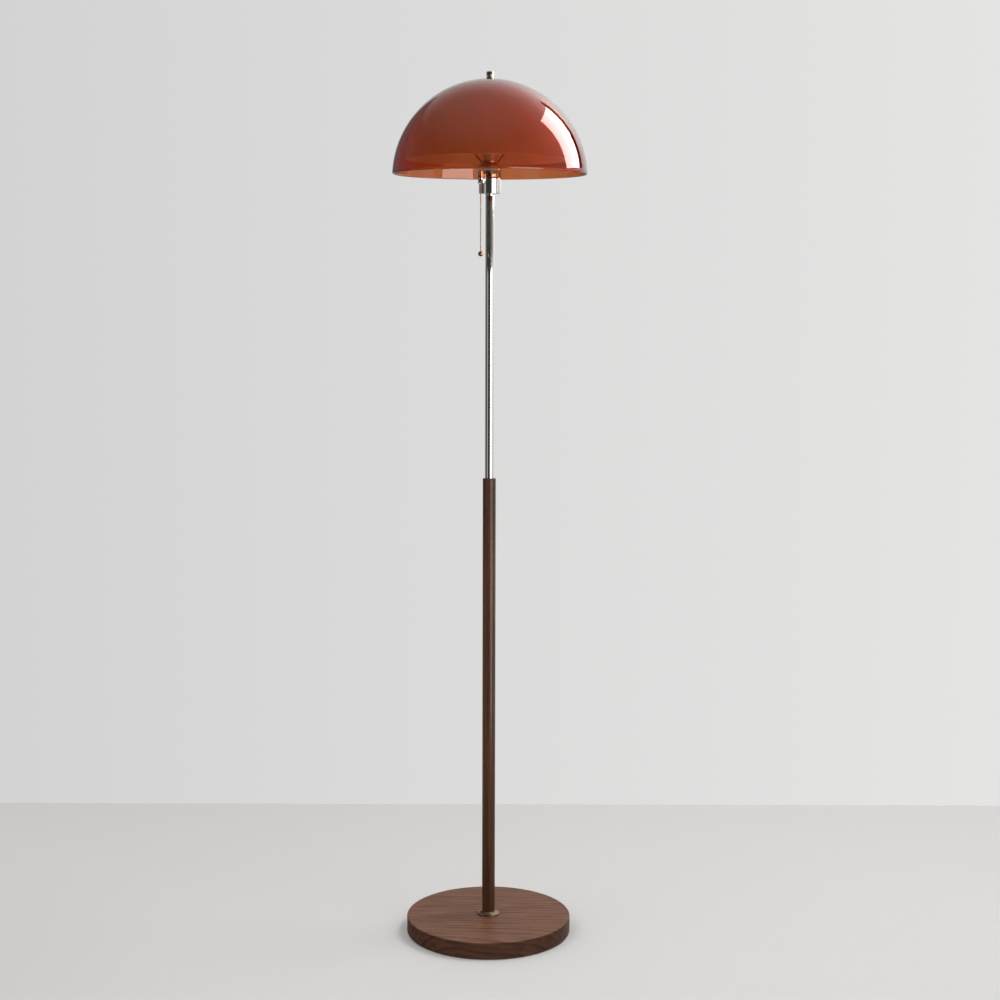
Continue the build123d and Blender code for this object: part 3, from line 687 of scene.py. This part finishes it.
ZINC = Plain("zinc_steel", "zinc_steel", (0.55, 0.56, 0.57), 0.35, 1.0, 0.12, 0.12,
             mottle=0.12, relief=0.1)
SPRING = Plain("spring_steel", "spring_steel", (0.42, 0.42, 0.43), 0.28, 1.0, 0.1, 0.1,
               mottle=0.06)
RUBBER = Plain("pad_rubber", "pad_rubber", (0.018, 0.018, 0.019), 0.75, 0.0, 0.1, 0.0,
               mottle=0.3, relief=0.35)
BLACK = Plain("black_plastic", "black_plastic", (0.02, 0.02, 0.021), 0.38, 0.0, 0.1, 0.1,
              mottle=0.1, relief=0.1)
MOULDING = Plain("black_moulding", "black_moulding", (0.03, 0.028, 0.026), 0.42, 0.0, 0.12,
                 0.05, mottle=0.15, relief=0.2)
ALUMINIUM = Plain("shell_aluminium", "shell_aluminium", (0.68, 0.68, 0.69), 0.3, 1.0, 0.12,
                  0.15, mottle=0.06)
FIBRE = Plain("fibre_sleeve", "fibre_sleeve", (0.36, 0.25, 0.15), 0.8, 0.0, 0.1, 0.0,
              mottle=0.18, relief=0.3)


def fit(piece: Piece, body: Body, finish: Finish, node: str) -> None:
    """Dress a new piece, put it on its body and let it stand for a node.

    Args:
        piece: The new piece.
        body: The body that it rides on.
        finish: Its finish.
        node: Name of the node that it stands for.
    """
    finish.dress(piece)
    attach(piece, body.value)
    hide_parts(node)


def dress_nodes(finish: Finish, *nodes: str) -> None:
    """Give nodes that keep their own mesh a finish."""
    for node in nodes:
        finish.dress(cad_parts[node])


# ---------------------------------------------------------------- foot and stem

@dataclass
class Foot:
    """Round wooden foot with what it holds, on its thin pad."""

    def build(self) -> None:
        """Dress the foot, its pad and the fittings in its recess."""
        dress_nodes(FOOT_WOOD, "base_disc")
        dress_nodes(RUBBER, "base_pad")
        dress_nodes(IRON, "base_weight")
        dress_nodes(ZINC, "weight_screws", "base_washer", "base_lock_washer", "base_nut")
        dress_nodes(BLACK, "cord_grommet")


@dataclass
class Stem:
    """Collar, turned pole and polished tube, with the hollow pipe that ties them."""

    pole_radius: float = 12.0 * MM
    pipe_hole: float = 5.0 * MM
    seat_depth: float = 60.0 * MM
    tube_radius: float = 8.0 * MM
    tube_wall: float = 1.2 * MM
    seat_gap: float = 0.1 * MM
    ease: float = 0.9 * MM
    collar_side: float = 2.4 * MM
    collar_foot: float = 0.8 * MM
    collar_lip: float = 1.4 * MM
    shoulder_width: float = 1.6 * MM
    shoulder_rise: float = 0.35 * MM
    shoulder_round: float = 1.4 * MM
    flare_round: float = 9.0 * MM

    def pole(self) -> Piece:
        """Turn the wooden pole, with a small round at each end and the tube's seat on top."""
        low, high = node_box("wood_pole")
        outer, ease = self.pole_radius, self.ease
        seat = self.tube_radius + self.seat_gap
        outline = Profile((self.pipe_hole, low.z)).line((outer - ease / 2, low.z))
        outline.bend((outer, low.z + ease / 2), ease / 2)
        outline.line((outer, high.z - ease)).bend((outer - ease, high.z), ease)
        outline.line((seat, high.z), (seat, high.z - self.seat_depth),
                     (self.pipe_hole, high.z - self.seat_depth))
        return outline.close().turned("pole")

    def tube(self) -> Piece:
        """Turn the polished tube, with its cut ends broken."""
        low, high = node_box("upper_tube")
        inner = self.tube_radius - self.tube_wall
        ease = self.tube_wall / 4
        outline = Profile((inner, low.z)).line((self.tube_radius - ease, low.z))
        outline.bend((self.tube_radius, low.z + ease), ease, 3)
        outline.line((self.tube_radius, high.z - ease))
        outline.bend((self.tube_radius - ease, high.z), ease, 3).line((inner, high.z))
        return outline.close().turned("tube")

    def collar(self) -> Piece:
        """Turn the collar: a rounded side under a hollow flare that ends in a fine lip."""
        low, high = node_box("pole_flange")
        rim = (high.x - low.x) / 2
        bore = self.pole_radius + self.seat_gap
        side = low.z + self.collar_side
        foot = self.collar_foot
        lip = bore + self.collar_lip
        outline = Profile((bore, low.z)).line((rim - foot, low.z))
        outline.bend((rim, low.z + foot), foot)
        outline.line((rim, side - foot))
        outline.bend((rim - self.shoulder_width, side + self.shoulder_rise), self.shoulder_round)
        outline.bend((lip, high.z - self.collar_lip / 2), -self.flare_round, 12)
        outline.bend((lip - self.collar_lip / 2, high.z), self.collar_lip / 2, 5)
        return outline.line((bore, high.z)).close().turned("collar")

    def build(self) -> None:
        """Build the collar, pole and tube, and dress what holds them together."""
        fit(self.collar(), Body.STAND, ANTIQUE, "pole_flange")
        fit(self.pole(), Body.STAND, POLE_WOOD, "wood_pole")
        fit(self.tube(), Body.STAND, NICKEL, "upper_tube")
        dress_nodes(ZINC, "tie_pipe")
        dress_nodes(BRASS, "tube_lower_plug", "tube_upper_plug")


# ---------------------------------------------------------------- cup and socket

def rows(low: float, high: float, count: int) -> list[float]:
    """Give the heights of evenly spaced rows between two heights, both included."""
    return [low + step * (high - low) / count for step in range(count + 1)]


def threaded(piece: Piece, low: float, high: float, depth: float) -> Piece:
    """Press a rolled screw thread into a turned piece that stands on the lamp's axis.

    Args:
        piece: The piece, whose upright walls have several rows for each turn.
        low: Height at which the thread runs in.
        high: Height at which it runs out.
        depth: Depth between crest and root.

    Returns:
        The piece.
    """
    for vert in piece.data.vertices:
        if low < vert.co.z < high:
            run = min(1.0, (vert.co.z - low) / THREAD_PITCH, (high - vert.co.z) / THREAD_PITCH)
            phase = vert.co.z / THREAD_PITCH * FULL_TURN - math.atan2(vert.co.y, vert.co.x)
            radius = math.hypot(vert.co.x, vert.co.y)
            shrink = 1 - depth * run * (1 - math.cos(phase)) / 2 / radius
            vert.co.x *= shrink
            vert.co.y *= shrink
    return piece


@dataclass
class SocketCup:
    """Deep cup on the tube, and the socket and harp saddle in it."""

    wall: float = 1.0 * MM
    corner: float = 1.6 * MM
    pipe_hole: float = 5.0 * MM
    window_middle: float = math.radians(-127.5)
    window_half: float = math.radians(7.5)
    window_low: float = 1.3866
    window_high: float = 1.4
    shell_bore: float = 13.2 * MM
    shell_wall: float = 0.4 * MM
    shell_floor: float = 9.6 * MM
    thread_depth: float = 0.35 * MM
    thread_rows: int = 64

    def cup(self) -> Piece:
        """Turn the cup with a rolled rim, and cut the switch's window in its wall.

        Returns:
            The cup.
        """
        low, high = node_box("socket_cup")
        outer = (high.x - low.x) / 2
        inner = outer - self.wall
        roll = self.wall / 2
        floor = low.z + self.wall
        outline = Profile((self.pipe_hole, low.z)).line((outer - self.corner, low.z))
        outline.bend((outer, low.z + self.corner), self.corner, 8)
        outline.line((outer, self.window_low), (outer, self.window_high),
                     (outer, high.z - roll))
        outline.bend((outer - roll, high.z), roll, 4).bend((inner, high.z - roll), roll, 4)
        outline.line((inner, self.window_high), (inner, self.window_low),
                     (inner, floor + roll)).bend((inner - roll, floor), -roll, 4)
        cup = outline.line((self.pipe_hole, floor)).close().turned("cup")
        mesh = bmesh.new()
        mesh.from_mesh(cup.data)
        faces = [face for face in mesh.faces if self.in_window(face.calc_center_median())]
        bmesh.ops.delete(mesh, geom=faces, context="FACES")
        edges = [edge for edge in mesh.edges if edge.is_boundary]
        bmesh.ops.bridge_loops(mesh, edges=edges)
        bmesh.ops.recalc_face_normals(mesh, faces=mesh.faces)
        mesh.to_mesh(cup.data)
        mesh.free()
        cup.data.set_sharp_from_angle(angle=SHARP_ANGLE)
        return cup

    def in_window(self, spot: Vector) -> bool:
        """Tell whether a face's middle lies in the switch's window."""
        turn = math.atan2(spot.y, spot.x) - self.window_middle
        return abs(turn) < self.window_half and self.window_low < spot.z < self.window_high

    def screw_shell(self) -> Piece:
        """Turn the thin screw shell and roll its thread.

        Returns:
            The shell.
        """
        low, high = node_box("screw_shell")
        bore, wall = self.shell_bore, self.shell_wall
        heights = rows(low.z + wall, high.z - 2 * wall, self.thread_rows)
        outline = Profile((self.shell_floor, low.z)).line((bore + wall, low.z))
        outline.line(*((bore + wall, height) for height in heights))
        outline.line((bore + 2 * wall, high.z), (bore + wall, high.z))
        outline.line(*((bore, height) for height in reversed(heights)))
        shell = outline.line((self.shell_floor, low.z + wall)).close().turned("screw_shell")
        return threaded(shell, heights[0], heights[-1], self.thread_depth)

    def build(self) -> None:
        """Build the cup and screw shell, and dress what is in the cup."""
        fit(self.cup(), Body.STAND, NICKEL, "socket_cup")
        fit(self.screw_shell(), Body.STAND, ALUMINIUM, "screw_shell")
        dress_nodes(ZINC, "cup_nipple", "harp_saddle", "cup_lock_nut")
        dress_nodes(BRASS, "socket_cap", "socket_shell", "terminal_screws", "centre_contact")
        dress_nodes(MOULDING, "switch_block")
        dress_nodes(FIBRE, "insulating_sleeve")


@dataclass
class Bulb:
    """Opal bulb with its rolled screw cap."""

    tip: float = 4.5 * MM
    tip_round: float = 1.2 * MM
    insulator: float = 10.5 * MM
    insulator_rise: float = 4.0 * MM
    thread_start: float = 5.5 * MM
    shoulder: float = 0.8 * MM
    thread_depth: float = 0.7 * MM
    thread_rows: int = 56

    def cap(self) -> Piece:
        """Turn the screw cap with its contact and insulator, and roll its thread.

        Returns:
            The cap.
        """
        low, high = node_box("bulb_cap")
        radius = (high.x - low.x) / 2
        heights = rows(low.z + self.thread_start, high.z - self.shoulder, self.thread_rows)
        outline = Profile((0, low.z)).line((self.tip - self.tip_round, low.z))
        outline.bend((self.tip, low.z + self.tip_round), self.tip_round)
        outline.line((self.insulator, low.z + self.insulator_rise))
        outline.line(*((radius, height) for height in heights))
        outline.line((radius - self.shoulder, high.z), (0, high.z))
        cap = outline.turned("bulb_cap")
        return threaded(cap, heights[0], heights[-1], self.thread_depth)

    def build(self) -> None:
        """Build the cap, and dress the bulb."""
        fit(self.cap(), Body.STAND, ALUMINIUM, "bulb_cap")
        dress_nodes(BULB_OPAL, "bulb_glass")


@dataclass
class Switch:
    """Pull-chain switch: bell, lever, ratchet, spring and the bead chain with its ball."""

    neck_radius: float = 1.7 * MM
    neck_length: float = 1.0 * MM
    groove: float = 0.15 * MM
    ball_steps: int = 24

    def ball(self) -> Piece:
        """Turn the pull ball, with a rolled neck and a fine groove round its middle.

        Returns:
            The ball.
        """
        low, high = node_box("pull_ball")
        middle = (low + high) / 2
        radius = (high.x - low.x) / 2
        height = high.z - low.z
        lift = math.asin(self.groove / radius)
        join = math.acos(self.neck_radius / radius)
        shoulder = radius + radius * math.sin(join)
        roll = self.neck_length / 4
        outline = Profile((0, 0)).arc((0, radius), 90 - math.degrees(lift), self.ball_steps)
        outline.line((radius - self.groove, radius))
        outline.line((radius * math.cos(lift), radius + radius * math.sin(lift)))
        outline.arc((0, radius), math.degrees(join - lift), self.ball_steps)
        outline.line((self.neck_radius - roll, shoulder + roll))
        outline.line((self.neck_radius - roll, height - 2 * roll))
        outline.bend((self.neck_radius - roll, height), roll, 8).line((0, height))
        return outline.turned("pull_ball", KNOB_SEGMENTS, (middle.x, middle.y, low.z))

    def build(self) -> None:
        """Build the ball, and dress the switch and the chain."""
        fit(self.ball(), Body.CHAIN_DROP, COPPERY, "pull_ball")
        dress_nodes(NICKEL, "chain_bell")
        dress_nodes(ZINC, "switch_pin", "pull_lever")
        dress_nodes(MOULDING, "ratchet_wheel")
        dress_nodes(SPRING, "lever_spring")
        dress_nodes(COPPERY, "chain_top", "chain_link", "pull_chain")


# ---------------------------------------------------------------- domes

@dataclass
class Domes:
    """Amber dome over an opal one, on the harp, clamped by the finial."""

    amber_wall: float = 3.0 * MM
    opal_wall: float = 2.6 * MM
    clamp: float = 10.0 * MM
    stud_hole: float = 3.35 * MM
    finial_bore: float = 3.15 * MM
    finial_ease: float = 0.5 * MM
    finial_dome: float = 2.2 * MM
    finial_top: float = 3.0 * MM
    finial_collar: float = 2.8 * MM
    finial_groove: float = 1.2 * MM
    groove_depth: float = 1.9 * MM
    arc_steps: int = 72
    rim_steps: int = 8

    def amber(self) -> Piece:
        """Build the amber dome, a spherical cap with a rounded, polished rim.

        Returns:
            The dome.
        """
        low, high = node_box("shade")
        radius = (high.x - low.x) / 2
        rise = high.z - low.z
        centre = low.z + (rise ** 2 + self.clamp ** 2 - radius ** 2) / (2 * rise)
        sphere = math.hypot(radius, centre - low.z)
        bead = self.amber_wall / 2
        middle = sphere - bead
        rim_angle = math.asin((low.z + bead - centre) / middle)
        rim = (middle * math.cos(rim_angle), low.z + bead)
        crown = math.acos(self.clamp / sphere)
        seat_radius = sphere - self.amber_wall
        seat_angle = math.acos(self.clamp / seat_radius)
        outline = Profile((sphere * math.cos(rim_angle), centre + sphere * math.sin(rim_angle)))
        outline.arc((0, centre), math.degrees(crown - rim_angle), self.arc_steps)
        outline.line((self.stud_hole, high.z),
                     (self.stud_hole, centre + seat_radius * math.sin(seat_angle)),
                     (self.clamp, centre + seat_radius * math.sin(seat_angle)))
        outline.arc((0, centre), -math.degrees(seat_angle - rim_angle), self.arc_steps)
        outline.arc(rim, 180, self.rim_steps)
        return outline.turned("amber_dome", DOME_SEGMENTS)

    def opal(self) -> Piece:
        """Build the opal dome, half an ellipsoid with a rounded rim.

        Returns:
            The dome.
        """
        low, high = node_box("diffuser")
        radius = (high.x - low.x) / 2
        across = math.sqrt(1 - (self.clamp / radius) ** 2)
        height = (high.z - low.z) / across
        inner = radius - self.opal_wall
        inner_height = height - self.opal_wall
        bead = self.opal_wall / 2
        lift = low.z + bead
        outer_arc = math.degrees(math.acos(self.clamp / radius))
        inner_arc = math.degrees(math.acos(self.clamp / inner))
        crown = lift + (height - bead) * across
        seat = lift + (inner_height - bead) * math.sqrt(1 - (self.clamp / inner) ** 2)
        outline = Profile((radius, lift))
        outline.arc((0, lift), outer_arc, self.arc_steps, (height - bead) / radius)
        outline.line((self.stud_hole, crown), (self.stud_hole, seat), (self.clamp, seat))
        outline.arc((0, lift), -inner_arc, self.arc_steps, (inner_height - bead) / inner)
        outline.arc((radius - bead, lift), 180, self.rim_steps)
        return outline.turned("opal_dome", DOME_SEGMENTS)

    def finial(self) -> Piece:
        """Turn the finial: a collar, a narrow groove and a drum with a domed top.

        Returns:
            The finial.
        """
        low, high = node_box("finial")
        radius = (high.x - low.x) / 2
        bore, ease, dome = self.finial_bore, self.finial_ease, self.finial_dome
        collar = low.z + self.finial_collar
        head = collar + self.finial_groove
        waist = radius - self.groove_depth
        outline = Profile((bore, low.z)).line((radius - ease, low.z))
        outline.bend((radius, low.z + ease), ease).line((radius, collar - ease))
        outline.bend((radius - ease, collar), ease).line((waist, collar), (waist, head))
        outline.line((radius - ease, head)).bend((radius, head + ease), ease)
        outline.line((radius, high.z - dome)).bend((radius - dome, high.z), dome, 10)
        outline.line((0, high.z), (0, high.z - self.finial_top), (bore, high.z - self.finial_top))
        return outline.close().turned("finial", KNOB_SEGMENTS)

    def build(self) -> None:
        """Build and dress the domes and finial, and dress the harp and the washers."""
        fit(self.finial(), Body.FINIAL, POLISHED, "finial")
        fit(self.amber(), Body.DOMES, AMBER, "shade")
        fit(self.opal(), Body.DOMES, OPAL, "diffuser")
        dress_nodes(BLACK, "shade_spacer")
        dress_nodes(POLISHED, "shade_washer")
        dress_nodes(BRASS, "harp")


# ---------------------------------------------------------------- studio

@dataclass(frozen=True)
class Card:
    """Flat patch that polished surfaces reflect, by the bearings of its corners.

    Bearings count from the camera's side towards the right, in degrees, at a distance from
    the lamp's axis. Heights are of its lower and upper edges.
    """

    name: str
    start: float
    end: float
    low: float
    high: float
    distance: float
    strength: float
    through: bool = True

    def corners(self) -> list[Vector]:
        """Give the four corners, anticlockwise from the lower left."""
        ends = []
        for bearing in (self.start, self.end):
            angle = math.radians(bearing)
            ends.append(Vector((math.sin(angle), -math.cos(angle), 0)) * self.distance)
        first, last = ends
        return [first + UP * self.low, last + UP * self.low,
                last + UP * self.high, first + UP * self.high]


@dataclass(frozen=True)
class Lamp:
    """Soft rectangular light that is never seen itself."""

    name: str
    place: Triple
    aim: Triple
    size: Pair
    power: float

    def build(self) -> None:
        """Add the light to the scene."""
        data = bpy.data.lights.new(self.name, "AREA")
        data.shape = "RECTANGLE"
        data.size, data.size_y = self.size
        data.energy = self.power
        light = bpy.data.objects.new(self.name, data)
        facing = (Vector(self.aim) - Vector(self.place)).to_track_quat("-Z", "Y")
        light.matrix_world = Matrix.Translation(self.place) @ facing.to_matrix().to_4x4()
        light.visible_glossy = False
        light.visible_camera = False
        light.visible_transmission = False
        bpy.context.scene.collection.objects.link(light)


CARDS = (Card("front_card", 22, 63, -0.4, 1.62, 3.0, 4.5),
         Card("side_card", 76, 97, -0.4, 1.6, 2.6, 0.9),
         Card("thin_card", -66, -42, -0.4, 1.6, 3.0, 0.5),
         Card("left_flag", -100, -155, -0.2, 2.0, 0.88, 0.2, through=False))
LAMPS = (Lamp("key", (1.5, 0.35, 3.0), (0, 0, 0.5), (0.9, 0.9), 29.0),
         Lamp("fill", (2.4, -2.0, 3.0), (0, 0, 0.8), (1.6, 1.6), 10.0),
         Lamp("left", (-2.0, -1.2, 3.0), (0, 0, 0.9), (1.4, 1.4), 9.0))


@dataclass
class Studio:
    """Pale floor and wall, soft light, reflection cards and the camera."""

    floor_colour: Triple = (0.66, 0.655, 0.65)
    wall_place: float = 0.812
    # Tones of the wall's glow to the camera, lighter on the right: painted light. The right tone is
    # also its plain colour.
    wall_left: Triple = (0.655, 0.65, 0.65)
    wall_right: Triple = (0.78, 0.775, 0.77)
    wall_span: float = 1.1
    half_room: float = 8.0
    sky_low: float = 0.46
    sky_high: float = 1.02
    ceiling_start: float = 0.42
    ceiling_low: float = 0.04
    ceiling_high: float = 0.66
    glow_way: Triple = (0.484, 0.718, 0.5)
    glow_spread: float = math.radians(16)
    glow_peak: float = 4.3
    glow_floor: float = 0.42
    backdrop: float = 0.72
    lens: float = 64.56
    camera_place: Triple = (0.01959, -3.2542, 1.2182)
    camera_tilt: float = 82.954
    camera_roll: float = 0.165
    strip_strength: float = 11.0
    strip_corners: tuple[Triple, ...] = ((1.075, 0.094, 1.549), (0.854, 0.528, 1.526),
                                         (0.752, 0.728, 2.391), (1.090, 0.063, 2.617))
    edge_side: Triple = (-0.07264, 0.14256, 0)
    edge_rise: float = 0.13

    def patch(self, name: str, corners: Sequence[Vector]) -> Piece:
        """Make a flat four-cornered patch that isn't part of the lamp.

        Args:
            name: Its name.
            corners: Its corners, in order.

        Returns:
            The patch.
        """
        mesh = bmesh.new()
        mesh.faces.new([mesh.verts.new(corner) for corner in corners])
        patch = placed(mesh, name)
        return patch

    def card(self, name: str, corners: Sequence[Vector], strength: float,
             through: bool = False) -> None:
        """Make a glowing patch that only reflections see.

        Args:
            name: Its name.
            corners: Its corners, in order.
            strength: Its brightness, where 1 is white.
            through: Whether it is also seen through clear pieces.
        """
        patch = self.patch(name, corners)
        for ray in ("camera", "diffuse", "shadow", "volume_scatter"):
            setattr(patch, f"visible_{ray}", False)
        patch.visible_transmission = through
        made, wiring = blank_material(name)
        made.node_tree.nodes.clear()
        light = wiring.node("Emission", {"Color": (1, 1, 1), "Strength": strength})
        wiring.end("OutputMaterial", Surface=light)
        patch.data.materials.append(made)

    def floor(self) -> None:
        """Make the plain floor."""
        size = self.half_room
        floor = self.patch("floor", [Vector((-size, -size, 0)), Vector((size, -size, 0)),
                                     Vector((size, size, 0)), Vector((-size, size, 0))])
        made, _ = blank_material("floor")
        shader = made.node_tree.nodes["Principled BSDF"]
        shader.inputs["Base Color"].default_value = (*self.floor_colour, 1)
        shader.inputs["Roughness"].default_value = 0.9
        shader.inputs["Specular IOR Level"].default_value = 0.1
        floor.data.materials.append(made)
        floor.visible_glossy = False

    def wall(self) -> None:
        """Make the wall, plain to light and seen by the camera as a glow with painted light, which
        can't be seen from behind.
        """
        size, back = self.half_room, self.wall_place
        wall = self.patch("wall", [Vector((-size, back, 0)), Vector((size, back, 0)),
                                   Vector((size, back, size)), Vector((-size, back, size))])
        made, wiring = blank_material("wall")
        shader = made.node_tree.nodes["Principled BSDF"]
        shader.inputs["Base Color"].default_value = (*self.wall_right, 1)
        shader.inputs["Roughness"].default_value = 0.95
        shader.inputs["Specular IOR Level"].default_value = 0.0
        # Painted light: to the camera the wall glows, lighter from left to right, as if light fell
        # on it more from the right.
        place = wiring.node("TexCoord").outputs["Object"]
        along = wiring.node("SeparateXYZ", {0: place}).outputs[0]
        share = wiring.remap(along, -self.wall_span, self.wall_span, 0.0, 1.0, "LINEAR")
        tone = wiring.blend(share, self.wall_left, self.wall_right)
        glow = wiring.node("Emission", {"Color": tone, "Strength": 1.0})
        rays = wiring.node("LightPath")
        direct = wiring.choose(rays.outputs["Is Camera Ray"], shader, glow)
        clear = wiring.node("BsdfTransparent")
        rear = wiring.node("NewGeometry").outputs["Backfacing"]
        wiring.end("OutputMaterial", Surface=wiring.choose(rear, direct, clear))
        wall.data.materials.append(made)
        wall.visible_glossy = False

    def world(self) -> None:
        """Light the scene from above, and give reflections a dark room with a glow behind."""
        world = bpy.data.worlds.new("studio")
        bpy.context.scene.world = world
        world.use_nodes = True
        world.node_tree.nodes.clear()
        wiring = Wiring(world.node_tree)
        rays = wiring.node("LightPath").outputs
        bearing = wiring.node("TexCoord").outputs["Generated"]
        height = wiring.node("SeparateXYZ", {0: bearing}).outputs[2]
        ceiling = wiring.remap(height, self.ceiling_start, 1.0, self.ceiling_low,
                               self.ceiling_high, "LINEAR")
        facing = wiring.vectors("DOT_PRODUCT", bearing, self.glow_way)
        away = wiring.maths("DIVIDE", wiring.maths("ARCCOSINE", facing), self.glow_spread)
        glow = wiring.maths("DIVIDE", self.glow_peak, wiring.maths("ADD", away, 1.0))
        glow = wiring.maths("SUBTRACT", glow, self.glow_floor)
        room = wiring.maths("MAXIMUM", ceiling, glow)
        sky = wiring.remap(height, 0.0, 1.0, self.sky_low, self.sky_high, "LINEAR")
        # Light that comes through the amber dome is counted by its clear shadows, so the sky
        # is dark to rays that go through it after a diffuse surface.
        bounced = wiring.maths("GREATER_THAN", rays["Diffuse Depth"], 0.5)
        lit = wiring.maths("MULTIPLY", rays["Is Transmission Ray"], bounced)
        unlit = wiring.maths("SUBTRACT", 1.0, lit)
        sky = wiring.maths("MULTIPLY", sky, unlit)
        mirrored = wiring.maths("GREATER_THAN", rays["Glossy Depth"], 0.5)
        straight = wiring.maths("MULTIPLY", wiring.maths("SUBTRACT", 1.0, mirrored),
                                wiring.maths("SUBTRACT", rays["Is Transmission Ray"], lit))
        direct = wiring.maths("MAXIMUM", rays["Is Camera Ray"], straight)
        even = wiring.node("Background", {"Color": (1, 0.99, 0.975), "Strength": sky})
        dark = wiring.node("Background", {"Color": (1, 0.985, 0.965), "Strength": room})
        behind = wiring.node("Background", {"Color": (1, 1, 1), "Strength": self.backdrop})
        gloss = wiring.maths("MAXIMUM", rays["Is Glossy Ray"], mirrored)
        rest = wiring.choose(wiring.maths("MULTIPLY", gloss, unlit), even, dark)
        wiring.end("OutputWorld", Surface=wiring.choose(direct, rest, behind))

    def cards(self) -> None:
        """Set up the strip light and the patches that the metal and the domes reflect."""
        strip = [Vector(corner) for corner in self.strip_corners]
        self.card("strip_light", strip, self.strip_strength, True)
        low, high = strip[1], strip[2] + self.edge_rise * (strip[2] - strip[1])
        edge = Vector(self.edge_side)
        self.card("strip_edge", [low, low + edge, high + edge, high], 0.0)
        for card in CARDS:
            self.card(card.name, card.corners(), card.strength, card.through)

    def camera(self) -> None:
        """Set the camera as the photograph was taken."""
        data = bpy.data.cameras.new("camera")
        data.lens = self.lens
        camera = bpy.data.objects.new("camera", data)
        turn = (Matrix.Rotation(math.radians(self.camera_tilt), 4, "X")
                @ Matrix.Rotation(math.radians(self.camera_roll), 4, "Z"))
        camera.matrix_world = Matrix.Translation(self.camera_place) @ turn
        bpy.context.scene.collection.objects.link(camera)
        bpy.context.scene.camera = camera

    def build(self) -> None:
        """Set up everything that isn't the lamp."""
        self.camera()
        self.floor()
        self.wall()
        self.world()
        self.cards()
        for lamp in LAMPS:
            lamp.build()
        bpy.context.scene.view_settings.view_transform = "Standard"


def main() -> None:
    """Build the studio and every sub-assembly in order, and log each as it is built."""
    logging.basicConfig(level=logging.INFO, format="%(message)s")
    for part in (Studio(), Foot(), Stem(), SocketCup(), Bulb(), Switch(), Domes()):
        part.build()
        LOG.info("built %s", type(part).__name__)


if __name__ == "__main__":
    main()
